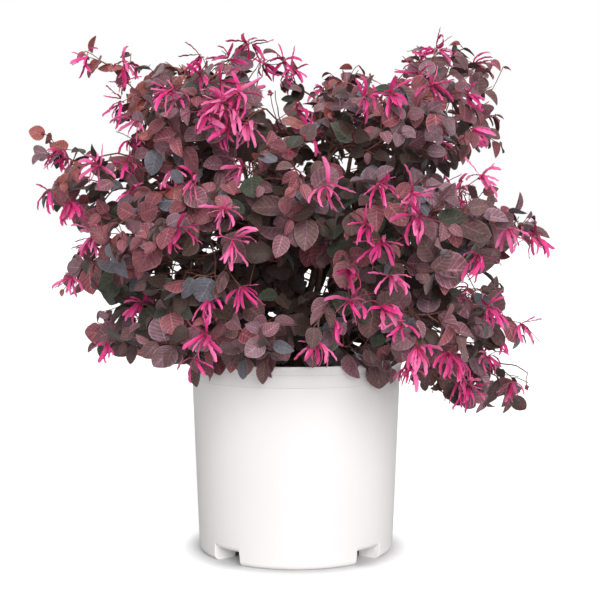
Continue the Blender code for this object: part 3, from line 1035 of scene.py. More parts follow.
@dataclass(frozen=True)
class Strewing:
    """One kind of crumb, and how it lies on the bed."""

    piece: str
    skin: Crumb
    half: tuple[float, float, float]
    density: float
    smallest: float
    largest: float
    seed: int
    first_shape: int

    SHAPES = 3

    def shape(self, number: int) -> tuple[list[Vector], list[tuple]]:
        """Makes one rough crumb about a unit long.

        Args:
            number: Seeds its shape.

        Returns:
            Its points and faces.
        """
        rng = random.Random(f"crumb {number}")
        points = []
        for row, share in enumerate((0.35, 0.65)):
            for i in range(5):
                turn = tau * (i + row / 2) / 5
                reach = 0.5 * rng.uniform(0.7, 1.1)
                points.append(Vector((self.half[0] * reach * cos(turn),
                                      self.half[1] * reach * sin(turn), self.half[2] * (share - 0.5))))
        points += [Vector((0, 0, -0.5 * self.half[2])), Vector((0, 0, 0.5 * self.half[2]))]
        return points, capped_faces(2, 5)

    def build(self, tree: GeometryTree, bed: Object, material: Material) -> None:
        """Strews the crumbs over a bed.

        Args:
            tree: The strewing tree.
            bed: The bed, which is used up.
            material: The crumbs' material.
        """
        shapes = ShapeBox(f"{self.piece}_shapes")
        for number in range(self.SHAPES):
            shapes.add(*self.shape(self.first_shape + number))
        piece = tree.run(bed, self.piece, Shapes=shapes.collection, Density=self.density,
                         Smallest=self.smallest, Largest=self.largest, Seed=self.seed, Material=material)
        finish_piece(piece)
        shapes.clear()


@dataclass(frozen=True)
class PottingMix:
    """The mix that shows below the rim: an uneven dark bed strewn with bark crumbs and perlite."""

    level: float = 0.2205
    edge_drop: float = 0.003
    radius: float = 0.1290
    depth: float = 0.012
    relief: float = 0.0016
    rings: int = 26
    sides: int = 72
    clear_edge: float = 0.0075
    bump_scale: float = 70.0
    skin: Crumb = Crumb("potting_mix", srgb(38, 27, 21), srgb(72, 52, 40))
    strewn: tuple[Strewing, ...] = (
        Strewing("bark_chips", Crumb("bark_chip", srgb(66, 44, 32), srgb(112, 80, 58)), (1.0, 0.62, 0.34),
                 24000.0, 0.0030, 0.0085, 11, 0),
        Strewing("perlite_grains", Crumb("perlite", srgb(206, 202, 194), srgb(232, 229, 222)),
                 (1.0, 0.9, 0.8), 5200.0, 0.0016, 0.0036, 12, 10),
    )

    def build(self) -> None:
        """Makes the bed and its crumbs."""
        bed = self.bed("mix_bed", self.radius, self.skin.material())
        finish_piece(bed, ["potting_mix"])
        tree = strewing_tree()
        for kind in self.strewn:
            material = kind.skin.material()
            bed = self.bed(f"{kind.piece}_bed", self.radius - self.clear_edge, material)
            kind.build(tree, bed, material)

    def bed(self, name: str, reach: float, material: Material) -> Object:
        """Makes the bed's upper surface, and its skirt down the wall.

        Args:
            name: Name of the object.
            reach: Its radius.
            material: Its finish.

        Returns:
            The bed.
        """
        deep = self.depth if reach == self.radius else self.edge_drop
        points = [polar(reach - 0.001, tau * i / self.sides, self.level - deep)
                  for i in range(self.sides)]
        for ring in range(self.rings):
            radius = reach * (1 - ring / self.rings)
            drop = self.edge_drop * (radius / self.radius) ** 2
            for i in range(self.sides):
                spot = polar(radius, tau * i / self.sides, self.level - drop)
                spot.z += self.relief * noise.fractal(spot * self.bump_scale, 0.6, 2.1, 3)
                points.append(spot)
        points.append(Vector((0, 0, self.level)))
        faces = ring_faces(self.rings + 1, self.sides)
        last = self.rings * self.sides
        faces.extend((last + i, last + (i + 1) % self.sides, len(points) - 1) for i in range(self.sides))
        bed = mesh_object(name, points, faces)
        bed.data.materials.append(material)
        return bed


# Limbs


@dataclass
class Line:
    """A limb's or shoot's middle line, with its thickness at every point."""

    points: list[Vector]
    radii: list[float]


@dataclass(frozen=True)
class TubeRule:
    """How finely round limbs are made, and how rough their skin is."""

    sides: int
    step: float
    relief: float
    grain: float

    def build(self, name: str, lines: Sequence[Line], tree: GeometryTree,
              material: Material) -> Object:
        """Makes round limbs along lines, as one piece.

        Args:
            name: Name of the piece.
            lines: The limbs' middle lines.
            tree: The tube tree.
            material: The piece's finish.

        Returns:
            The piece.
        """
        points, edges, radii = [], [], []
        for line in lines:
            first = len(points)
            points.extend(line.points)
            radii.extend(line.radii)
            edges.extend((i, i + 1) for i in range(first, len(points) - 1))
        source = mesh_object(f"{name}_lines", points, (), edges)
        source.data.attributes.new("thickness", "FLOAT", "POINT").data.foreach_set("value", radii)
        return tree.run(source, name, Sides=self.sides, Step=self.step, Relief=self.relief,
                        Grain=self.grain, Material=material)


# Masses of foliage


class LeafMass:
    """One mass of foliage in the frame, and what the branching rule asks of it."""

    def __init__(self, name: str) -> None:
        """Reads the mass's solid from the frame."""
        self.name = name
        mesh = frame["nodes"][f"foliage_{name}"].data
        self.points = np.empty(len(mesh.vertices) * 3)
        mesh.vertices.foreach_get("co", self.points)
        self.points = self.points.reshape(-1, 3)
        self.faces = np.array([tuple(face.vertices) for face in mesh.polygons])
        self.tree = BVHTree.FromPolygons(self.points.tolist(), self.faces.tolist())
        self.low = self.points.min(0)
        self.high = self.points.max(0)
        self.centre = Vector((self.low + self.high) / 2)

    def depth(self, point: Vector) -> float:
        """Returns how deep a point lies under the skin; outside it is negative."""
        place, normal, _, distance = self.tree.find_nearest(point)
        return distance if (place - point).dot(normal) > 0 else -distance

    def near(self, point: Vector, reach: float) -> bool:
        """Returns whether a point lies within reach of the skin."""
        boxed = all(self.low[i] - reach <= point[i] <= self.high[i] + reach for i in range(3))
        return boxed and self.tree.find_nearest(point, reach)[0] is not None

    def skin_points(self, rng: np.random.Generator, count: int) -> list[tuple[Vector, Vector]]:
        """Scatters points evenly over the skin.

        Args:
            rng: Seeded generator.
            count: Number of points.

        Returns:
            Pairs of a point and the skin's outward normal there.
        """
        corner = self.points[self.faces]
        cross = np.cross(corner[:, 1] - corner[:, 0], corner[:, 2] - corner[:, 0])
        area = np.linalg.norm(cross, axis=1)
        picks = rng.choice(len(area), count, p=area / area.sum())
        shares = rng.random((count, 2))
        over = shares.sum(1) > 1
        shares[over] = 1 - shares[over]
        spots = (corner[picks, 0] + (corner[picks, 1] - corner[picks, 0]) * shares[:, :1]
                 + (corner[picks, 2] - corner[picks, 0]) * shares[:, 1:])
        normals = cross[picks] / area[picks, None]
        return [(Vector(s), Vector(n)) for s, n in zip(spots, normals)]

    def tips(self, directions: Sequence[Vector]) -> list[tuple[Vector, Vector]]:
        """Returns the skin's furthest point each way, with that way as its outward direction."""
        return [(Vector(self.points[int(np.argmax(self.points @ np.array(way)))]), way) for way in directions]


class ShootEnd(Enum):
    """What a shoot ends in."""

    LEAVES = "leaves"
    BLOOM = "bloom"
    BUDS = "buds"


@dataclass
class Target:
    """A place that a shoot grows to."""

    place: Vector
    outward: Vector
    end: ShootEnd = ShootEnd.LEAVES
    inner: bool = False
    size: float = 1.0
    droop: float = 0.0
    whip: bool = False

    @property
    def ends_growth(self) -> bool:
        """Returns whether nothing grows on from this place."""
        return self.droop > 0.0 or self.end is not ShootEnd.LEAVES


@dataclass
class Shoot:
    """One stretch of a limb's growth, from where it leaves its parent to its tip."""

    points: list[Vector]
    target: Target
    parent: int = -1
    parent_node: int = 0
    load: list[float] = field(default_factory=list)


@dataclass(frozen=True)
class BranchingRule:
    """How shoots reach their targets: each joins the growth so far where that costs least."""

    step: float = 0.013
    turn_cost: float = 0.35
    way_cost: float = 0.32
    least_reach: float = 0.006
    arch: float = 0.30
    wobble: float = 0.0012
    tip_radius: float = 0.00052
    thickening: float = 2.35
    leaving_pull: float = 0.45
    arriving_pull: float = 0.6

    def grow(self, stem: Sequence[Vector], targets: Sequence[Target], rng: random.Random) -> list[Shoot]:
        """Grows one bough's whole tree.

        Args:
            stem: The stretch of the bough that shoots may leave, up to where it enters its mass.
            targets: Places to reach, the scaffold's first.
            rng: Seeded generator.

        Returns:
            The shoots, each after its parent.
        """
        shoots: list[Shoot] = []
        spots = [np.array(point) for point in stem[1:]]
        ways = [np.array((point - before).normalized()) for before, point in zip(stem, stem[1:])]
        runs = [0.0] * len(spots)
        owners = [(-1, 0)] * len(spots)
        for target in targets:
            place = np.array(target.place)
            gap = place - np.array(spots)
            far = np.linalg.norm(gap, axis=1)
            cosine = (gap * np.array(ways)).sum(1) / np.maximum(far, 1e-6)
            cost = far * (1 + self.turn_cost * (1 - cosine)) + np.array(runs) * self.way_cost
            cost[far < self.least_reach] = np.inf
            best = int(np.argmin(cost))
            if not isfinite(cost[best]):
                continue
            shoot = Shoot(self.path(Vector(spots[best]), Vector(ways[best]), target, rng), target,
                          *owners[best])
            shoots.append(shoot)
            run = runs[best]
            for i in range(1, len(shoot.points)):
                leg = shoot.points[i] - shoot.points[i - 1]
                run += leg.length
                spots.append(np.array(shoot.points[i]))
                ways.append(np.array(leg.normalized()))
                runs.append(run)
                owners.append((len(shoots) - 1, i))
        self.weigh(shoots)
        return shoots

    def path(self, start: Vector, way: Vector, target: Target, rng: random.Random) -> list[Vector]:
        """Draws one shoot as a gentle arch.

        Args:
            start: Where it leaves its parent.
            way: The parent's direction there.
            target: Where it goes.
            rng: Seeded generator.

        Returns:
            Its points, from start to tip.
        """
        straight = target.place - start
        reach = straight.length / 3
        direct = straight.normalized()
        leave = (way * self.leaving_pull + direct + UP * self.arch * 0.5).normalized()
        arrive = (direct + target.outward * self.arriving_pull - UP * self.arch).normalized()
        count = max(2, round(straight.length / self.step))
        points = bezier(start, start + leave * reach, target.place - arrive * reach, target.place, count)
        for i in range(1, count):
            points[i] += gauss_vector(rng) * self.wobble
        return points

    def weigh(self, shoots: Sequence[Shoot]) -> None:
        """Counts, at every point of every shoot, the tips that it carries.

        Args:
            shoots: The shoots, each after its parent.
        """
        for shoot in shoots:
            shoot.load = [1.0] * len(shoot.points)
        for shoot in reversed(shoots):
            if shoot.parent >= 0:
                parent = shoots[shoot.parent]
                for i in range(shoot.parent_node + 1):
                    parent.load[i] += shoot.load[0]

    def radius(self, load: float) -> float:
        """Returns the thickness of a limb that carries this many tips."""
        return self.tip_radius * load ** (1 / self.thickening)


# Leaves


@dataclass(frozen=True)
class LeafShape:
    """An ovate leaf on a short stalk, folded along its midrib and bowed along its length."""

    width: float
    fold: float
    bow: float
    twist: float
    wave: float

    ROWS = ((0.0, 0.012), (0.08, 0.016), (0.10, 0.16), (0.17, 0.275), (0.30, 0.37), (0.47, 0.405),
            (0.65, 0.365), (0.82, 0.255), (0.94, 0.115), (1.0, 0.0))
    RIPPLES = 9.0

    def add_to(self, box: ShapeBox) -> None:
        """Adds the shape, one unit long, its stalk's foot at the origin and its face along +Z.

        Args:
            box: The shapes that it joins.
        """
        points, uvs = [], []
        for share, half in self.ROWS:
            half *= self.width
            roll = self.twist * share
            sag = -self.bow * share ** 2
            ripple = self.wave * sin(share * self.RIPPLES)
            for side in (-1, 0, 1):
                if half == 0.0 and side != 0:
                    continue
                across = side * half
                lift = abs(across) * (self.fold + ripple * side) + sag
                points.append((share - 0.25 * self.bow * share ** 2,
                               across * cos(roll) - lift * sin(roll) * 0.3,
                               lift + across * sin(roll)))
                uvs.append((share, 0.5 + 0.5 * side))
        last, tip = len(points) - 4, len(points) - 1
        faces = strip_faces(len(self.ROWS) - 2)
        box.add(points, [*faces, (last, tip, last + 1), (last + 1, tip, last + 2)], uvs)


LEAF_SHAPES = (
    LeafShape(1.00, 0.14, 0.12, 0.10, 0.00),
    LeafShape(1.06, 0.06, 0.20, -0.15, 0.08),
    LeafShape(0.94, 0.22, 0.08, 0.20, 0.05),
    LeafShape(1.08, -0.12, 0.16, 0.12, 0.10),
    LeafShape(0.86, 0.40, 0.22, -0.25, 0.00),
    LeafShape(0.98, 0.04, -0.06, 0.25, 0.12),
    LeafShape(0.74, 0.60, 0.18, 0.15, 0.00),
    LeafShape(0.66, 0.75, 0.32, -0.10, 0.04),
)
YOUNG_SHAPES = (4, 6, 7)
MATURE_SHAPES = (0, 1, 2, 3, 5)


@dataclass(frozen=True)
class StrapShape:
    """A narrow strap petal, blunt at its tip, that bends over, sways, ripples and may curl."""

    width: float
    bend: float
    curl: float
    twist: float
    sway: float

    STEPS = 9
    WIDTHS = (0.40, 0.72, 0.95, 0.90, 1.08, 0.96, 1.10, 0.94, 0.86, 0.42)
    RIPPLE = 0.24
    CHANNEL = 0.65

    def add_to(self, box: ShapeBox) -> None:
        """Adds the shape, one unit long, its foot at the origin and its face along +Z.

        Args:
            box: The shapes that it joins.
        """
        points, uvs = [], []
        place = Vector((0.0, 0.0, 0.0))
        angle = 0.0
        for i in range(self.STEPS + 1):
            share = i / self.STEPS
            half = 0.5 * self.width * self.WIDTHS[i]
            drift = self.sway * sin(share * 4.4 + self.twist * 3.0)
            lean = angle + self.RIPPLE * sin(i * 2.2 + self.sway * 9.0)
            way = Vector((cos(lean) * cos(drift), sin(drift),
                          -sin(lean) * cos(drift)))
            normal = Vector((sin(lean), 0.0, cos(lean)))
            side = Matrix.Rotation(self.twist * share, 3, way) @ normal.cross(way)
            for edge in (-1, 0, 1):
                channel = normal * (abs(edge) * half * self.CHANNEL)
                points.append(place + side * (edge * half) + channel)
                uvs.append((share, 0.5 + 0.5 * edge))
            angle += (self.bend + self.curl * share ** 3) / self.STEPS
            place = place + way / self.STEPS
        box.add(points, strip_faces(self.STEPS), uvs)


STRAP_SHAPES = (
    StrapShape(0.118, 0.35, 0.0, 0.2, 0.18),
    StrapShape(0.135, 0.90, 0.5, -0.5, -0.25),
    StrapShape(0.110, 1.30, 0.9, 0.6, 0.30),
    StrapShape(0.125, 0.15, -0.6, 0.9, -0.12),
    StrapShape(0.142, 0.60, 1.8, -0.4, 0.22),
    StrapShape(0.100, -0.30, 1.2, -1.0, 0.34),
    StrapShape(0.128, 0.70, -0.9, 1.4, -0.30),
    StrapShape(0.108, 1.10, 2.4, 0.3, 0.10),
)


@dataclass(frozen=True)
class Bloom:
    """Flower heads that stand together at a place of the flowering side, across and up."""

    x: float
    z: float
    size: float = 1.0
    heads: int = 1

    CLOSENESS = 0.013
    TURN = radians(137.5)

    def places(self) -> list[tuple[float, float]]:
        """Returns where its heads stand, the first at the place itself and the rest wound outwards."""
        reaches = [self.CLOSENESS * sqrt(i) for i in range(self.heads)]
        return [(self.x + reach * cos(i * self.TURN), self.z + reach * sin(i * self.TURN))
                for i, reach in enumerate(reaches)]


@dataclass(frozen=True)
class Patch:
    """A rounded place of the flowering side, across and up, that may be drawn out by a run."""

    x: float
    z: float
    reach: float
    run: tuple[float, float] = (0.0, 0.0)

    def holds(self, x: float, z: float, margin: float = 0.0) -> bool:
        """Tells whether a place lies in the patch or within a margin of it.

        Args:
            x: The place, across.
            z: The place, up.
            margin: How far outside still counts.

        Returns:
            Whether it does.
        """
        right, up = x - self.x, z - self.z
        length = self.run[0] ** 2 + self.run[1] ** 2
        share = (right * self.run[0] + up * self.run[1]) / length if length else 0.0
        share = min(1.0, max(0.0, share))
        return hypot(right - share * self.run[0], up - share * self.run[1]) < self.reach + margin


LARGE = 1.2
SMALL = 0.6

FRONT_BLOOMS = tuple(Bloom(*row) for row in (
    # Upper left
    (-0.260, 0.620, SMALL), (-0.215, 0.615, LARGE), (-0.220, 0.565, LARGE), (-0.200, 0.540),
    (-0.155, 0.580, LARGE), (-0.120, 0.620), (-0.120, 0.600, SMALL), (-0.060, 0.635),
    (-0.085, 0.555, LARGE, 7),
    # Upper right
    (-0.005, 0.605, LARGE, 2), (0.000, 0.555, SMALL), (0.085, 0.570), (0.120, 0.575, LARGE),
    (0.155, 0.600, LARGE), (0.175, 0.630, LARGE), (0.170, 0.585), (0.215, 0.575), (0.230, 0.470),
    # Left side
    (-0.300, 0.505), (-0.310, 0.450), (-0.285, 0.440, LARGE), (-0.250, 0.485), (-0.210, 0.490, SMALL),
    (-0.285, 0.345, LARGE), (-0.240, 0.260, SMALL),
    # Front, left of the middle
    (-0.130, 0.465), (-0.150, 0.480, SMALL), (-0.090, 0.430, LARGE), (-0.150, 0.405, LARGE),
    (-0.080, 0.390, LARGE), (-0.110, 0.315), (-0.070, 0.330, LARGE), (-0.115, 0.270, LARGE),
    (-0.130, 0.240, SMALL),
    # Front, right of the middle
    (0.040, 0.460, LARGE), (0.105, 0.465, LARGE), (0.145, 0.450, LARGE), (0.155, 0.420, LARGE),
    (0.090, 0.410), (0.105, 0.390, LARGE), (0.070, 0.355), (0.120, 0.345), (0.010, 0.325, LARGE),
    (0.070, 0.315, LARGE), (0.050, 0.290), (0.110, 0.305, LARGE), (0.025, 0.260, LARGE), (0.135, 0.285),
    # Right side
    (0.230, 0.370), (0.300, 0.395), (0.245, 0.305, LARGE), (0.285, 0.285, LARGE), (0.250, 0.270),
    (0.155, 0.255, LARGE), (0.145, 0.230), (0.205, 0.240, LARGE, 2), (0.220, 0.205, LARGE, 2),
    (0.240, 0.245), (0.275, 0.210),
))

SKY_GAPS = tuple(Patch(*row) for row in (
    # Small holes
    (-0.065, 0.480, 0.012), (0.065, 0.490, 0.008), (0.005, 0.480, 0.004), (-0.035, 0.295, 0.008),
    (0.015, 0.345, 0.009, (0.025, -0.015)), (0.140, 0.335, 0.004), (0.185, 0.425, 0.006),
    (0.205, 0.470, 0.006, (0.010, -0.030)), (0.220, 0.345, 0.011, (0.005, -0.015)), (-0.220, 0.410, 0.006),
    (-0.105, 0.380, 0.004), (0.190, 0.555, 0.003),
    # Between the two upper masses
    (-0.045, 0.610, 0.011, (0.015, -0.040)), (-0.025, 0.555, 0.008),
    # Round the outline
    (-0.255, 0.545, 0.013, (0.035, -0.030)), (-0.165, 0.620, 0.010), (0.075, 0.620, 0.010),
    (-0.325, 0.465, 0.010), (-0.300, 0.410, 0.009, (0.010, -0.030)), (0.255, 0.585, 0.010),
    (0.285, 0.375, 0.010), (0.270, 0.305, 0.012), (0.300, 0.235, 0.014, (0.000, -0.025)),
    (0.280, 0.230, 0.008), (0.175, 0.180, 0.012, (0.030, -0.010)),
))

# Dark recesses of the flowering side: no shoot ends in them, leaves before them are left out, and leaves just
# behind them take the umber painted shade.
RECESSES = tuple(Patch(*row) for row in (
    # The shaded band across the middle
    (-0.165, 0.360, 0.015, (0.130, -0.010)), (-0.045, 0.335, 0.010, (0.045, -0.005)),
    (-0.070, 0.405, 0.011, (0.020, -0.010)), (-0.190, 0.310, 0.010),
    # Right side, under the top and above the rim
    (0.125, 0.400, 0.012, (0.015, -0.010)), (0.165, 0.480, 0.010, (0.025, 0.000)), (0.180, 0.285, 0.011),
    (0.015, 0.500, 0.009, (0.040, 0.000)), (0.075, 0.265, 0.011), (0.045, 0.245, 0.008, (0.015, 0.000)),
))

FRONT_SPRAYS = ((-0.229, 0.594), (0.140, 0.640), (0.180, 0.644), (0.108, 0.609), (0.012, 0.560))

SKY_SPRAYS = ((0.260, 0.608), (0.252, 0.548), (0.256, 0.512), (0.298, 0.420), (-0.246, 0.300), (0.258, 0.336))

RIM_SPRAYS = ((-0.102, 0.253), (-0.036, 0.252), (0.068, 0.255), (0.098, 0.246), (0.020, 0.266),
              (-0.072, 0.264), (0.113, 0.240), (-0.118, 0.244))

CARRIED = {
    "left_shoot": "upper_left",
    "top_left": "upper_left",
    "left_tip": "mid_left",
    "top_centre": "top_middle",
    "lower_right": "right",
}


Skin = tuple[str, Vector, Vector]


class Canopy:
    """All the masses of foliage, and what is asked across them."""

    PARTING_REACH = 0.004
    HEART = Vector((0.0, 0.0, 0.38))
    OPENNESS = 0.45
    OUTWARD_GAIN = 0.8

    def __init__(self, eye: Vector) -> None:
        """Reads every mass; eye is where the flowering side is seen from."""
        nodes = sorted(name for name in frame["nodes"] if name.startswith("foliage_"))
        self.masses = {name: LeafMass(name) for name in (node.removeprefix("foliage_") for node in nodes)}
        self.nodes = nodes
        self.eye = eye

    def exposure(self, mass: LeafMass, point: Vector, normal: Vector) -> float:
        """Tells how open to the air a point of a mass's skin is.

        Args:
            mass: The mass.
            point: The point.
            normal: The skin's outward normal there.

        Returns:
            0 where it is parted from a neighbour, up to 1 where it faces straight out.
        """
        for other in self.masses.values():
            if other is not mass and other.near(point, self.PARTING_REACH):
                return 0.0
        out = (point - self.HEART).normalized()
        return min(1.0, max(0.0, self.OPENNESS + self.OUTWARD_GAIN * normal.dot(out)))

    def seen_at(self, x: float, z: float) -> Skin | None:
        """Finds what shows at a place of the flowering side.

        Args:
            x: Place across, in the upright plane through the pot's axis.
            z: Its height there.

        Returns:
            The mass, the point of its skin and its normal, or None where there is only sky.
        """
        way = (Vector((x, 0.0, z)) - self.eye).normalized()
        best, found = inf, None
        for name, mass in self.masses.items():
            place, normal, _, distance = mass.tree.ray_cast(self.eye, way)
            if place is not None and distance < best:
                best, found = distance, (name, place, normal)
        return found

    def skin_at(self, x: float, z: float) -> Skin:
        """Returns what shows at a place of the flowering side or, where that is sky, lies nearest to it."""
        return self.seen_at(x, z) or self.nearest_to(Vector((x, 0.0, z)))

    def before(self, x: float, z: float, reach: float) -> Skin:
        """Finds the foremost skin round a place of the flowering side.

        Args:
            x: Place across, in the upright plane through the pot's axis.
            z: Its height there.
            reach: How far round it to look.

        Returns:
            The mass, the point at this place that lies as near as its skin does, and the skin's normal.
        """
        turns = [tau * i / 6 for i in range(6)]
        ring = [self.seen_at(x + reach * cos(turn), z + reach * sin(turn)) for turn in turns]
        seen = [found for found in (self.seen_at(x, z), *ring) if found]
        name, place, normal = min(seen, key=lambda found: found[1].y)
        return name, self.at_depth(x, z, place.y), normal

    def in_recess(self, point: Vector, margin: float = 0.0) -> bool:
        """Returns whether a point shows in, or within a margin of, a dark recess of the flowering side."""
        x, z = self.on_picture(point)
        return any(recess.holds(x, z, margin) for recess in RECESSES)

    def behind(self, point: Vector, reach: float) -> bool:
        """Returns whether a point and what is within reach of it stay behind the masses.

        Args:
            point: The point.
            reach: How far round it to look.

        Returns:
            Whether they do.
        """
        x, z = self.on_picture(point)
        ways = ((0, 1), (1, 0.5), (-1, 0.5))
        return all(self.seen_at(x + reach * right, z + reach * up) for right, up in ways)

    def nearest_to(self, point: Vector) -> Skin:
        """Finds the mass whose skin is nearest to a point.

        Args:
            point: The point.

        Returns:
            The mass, the nearest point of its skin and the skin's normal there.
        """
        best, found = inf, ("", point, UP)
        for name, mass in self.masses.items():
            place, normal, _, distance = mass.tree.find_nearest(point)
            if distance < best:
                best, found = distance, (name, place, normal)
        return found

    def at_depth(self, x: float, z: float, y: float) -> Vector:
        """Returns the point at a depth that shows at a place of the flowering side."""
        return self.eye + (Vector((x, 0.0, z)) - self.eye) * ((y - self.eye.y) / -self.eye.y)

    def on_picture(self, point: Vector) -> tuple[float, float]:
        """Returns where a point shows, across and up, in the upright plane through the pot's axis."""
        share = -self.eye.y / (point.y - self.eye.y)
        return point.x * share, self.eye.z + (point.z - self.eye.z) * share

    def in_gap(self, point: Vector, margin: float) -> bool:
        """Returns whether a point would close one of the gaps that let the sky through."""
        x, z = self.on_picture(point)
        return any(gap.holds(x, z, margin) for gap in SKY_GAPS)


def clear_of(place: Vector, others: Sequence[Target], spacing: float) -> bool:
    """Returns whether a place keeps a spacing from other targets."""
    return all((place - other.place).length_squared > spacing * spacing for other in others)


@dataclass(frozen=True)
class TargetRule:
    """How densely shoots are wanted in and on a mass."""

    skin_spacing: float = 0.0225
    inner_spacing: float = 0.025
    bloom_spacing: float = 0.062
    inset: float = 0.018
    parted_spacing: float = 0.029
    parted_inset: float = 0.007
    tip_inset: float = 0.017
    inner_depth: float = 0.016
    buds_share: float = 0.07
    rim_reach: float = 0.153
    bloom_inset: float = 0.002
    bloom_reach: float = 0.024
    parting_reach: float = 0.024
    parting_depth: float = 0.045
    parting_clearance: float = 0.040
    parting_tries: int = 500
    parting_span: tuple[float, float] = (-0.22, 0.22)
    parting_rise: tuple[float, float] = (0.40, 0.54)
    rim_droop: float = 3.2
    bloom_tries: int = 120
    bloom_exposure: float = 0.6
    bloom_turned_away: float = -0.12
    bloom_least_rise: float = -0.3
    bloom_sizes: tuple[float, ...] = (0.7, 1.0, 1.0, 1.25)
    tip_exposure: float = 0.3
    tip_spacing: float = 0.018
    skin_tries: int = 900
    parted_exposure: float = 0.25
    buds_exposure: float = 0.6
    inner_tries: int = 700
    recess_depth: float = -0.060
    stem_tries: int = 40
    stem_reach: tuple[float, float] = (0.016, 0.046)
    stem_floor: float = 0.262
    stem_spacing: float = 0.019
    stem_rise: float = 0.3
    stem_margin: float = 0.012
    seed: int = 7100
    tip_ways: tuple[tuple[float, float, float], ...] = (
        (1, 0, 0), (-1, 0, 0), (0, 1, 0), (0, -1, 0), (0, 0, 1), (1, 0, 1), (-1, 0, 1), (1, 0, -1),
        (-1, 0, -1), (0, 1, 1), (0, -1, 1), (1, 1, 0), (-1, 1, 0), (1, -1, 0), (-1, -1, 0))

    def plan(self, canopy: Canopy) -> dict[str, list[Target]]:
        """Chooses every mass's targets.

        Args:
            canopy: The masses.

        Returns:
            The targets of each mass: its middle, its tips, its blooms, its skin and its inside.
        """
        plans: dict[str, list[Target]] = {name: [] for name in canopy.masses}
        for bloom in FRONT_BLOOMS:
            for x, z in bloom.places():
                name, place, normal = canopy.skin_at(x, z)
                spot = place - normal * self.bloom_inset
                plans[name].append(Target(spot, normal, ShootEnd.BLOOM, size=bloom.size))
        for x, z in FRONT_SPRAYS:
            name, place, normal = canopy.skin_at(x, z)
            plans[name].append(Target(place - normal * self.inset, normal, whip=True))
        for x, z in SKY_SPRAYS:
            name, place, normal = canopy.nearest_to(Vector((x, 0.0, z)))
            plans[name].append(Target(canopy.at_depth(x, z, place.y), normal, whip=True))
        for name, target in self.bridging(canopy):
            plans[name].append(target)
        for x, z in RIM_SPRAYS:
            spot = Vector((x, -sqrt(self.rim_reach ** 2 - x ** 2), z))
            name = canopy.nearest_to(spot)[0]
            outward = Vector((x, spot.y, 0.0)).normalized()
            plans[name].append(Target(spot, outward, droop=self.rim_droop))
        for number, (name, mass) in enumerate(canopy.masses.items()):
            draws = random.Random(f"targets {name}"), np.random.default_rng(self.seed + number)
            plans[name] = MassPlan(self, canopy, mass, plans[name], *draws).targets()
        return plans

    def bridging(self, canopy: Canopy) -> list[tuple[str, Target]]:
        """Chooses sprays that bridge the deep partings of the flowering side's upper half.

        Args:
            canopy: The masses.

        Returns:
            Each spray's mass and its target.
        """
        rng = random.Random("partings")
        chosen: list[tuple[str, Target]] = []
        for _ in range(self.parting_tries):
            x, z = rng.uniform(*self.parting_span), rng.uniform(*self.parting_rise)
            seen = canopy.seen_at(x, z)
            if seen is None:
                continue
            name, place, normal = canopy.before(x, z, self.parting_reach)
            closed = canopy.in_recess(place) or canopy.in_gap(place, self.parting_reach / 2)
            if closed or seen[1].y - place.y < self.parting_depth:
                continue
            target = Target(place - normal * self.inset, normal)
            if clear_of(target.place, [other for _, other in chosen], self.parting_clearance):
                chosen.append((name, target))
        return chosen

    def along(self, canopy: Canopy, stem: Sequence[Vector], rng: random.Random) -> list[Target]:
        """Chooses side shoots along a bough, between the trunk and its mass.

        Args:
            canopy: The masses.
            stem: The bough's points.
            rng: Seeded generator.

        Returns:
            Their targets.
        """
        chosen: list[Target] = []
        for _ in range(self.stem_tries):
            leg = rng.randrange(len(stem) - 1)
            start = stem[leg].lerp(stem[leg + 1], rng.random())
            way = square_to((stem[leg + 1] - stem[leg]).normalized(), gauss_vector(rng) + UP * self.stem_rise)
            place = start + way * rng.uniform(*self.stem_reach)
            if place.z < self.stem_floor or not clear_of(place, chosen, self.stem_spacing):
                continue
            if not canopy.in_gap(place, self.stem_margin):
                chosen.append(Target(place, way, inner=True))
        return chosen


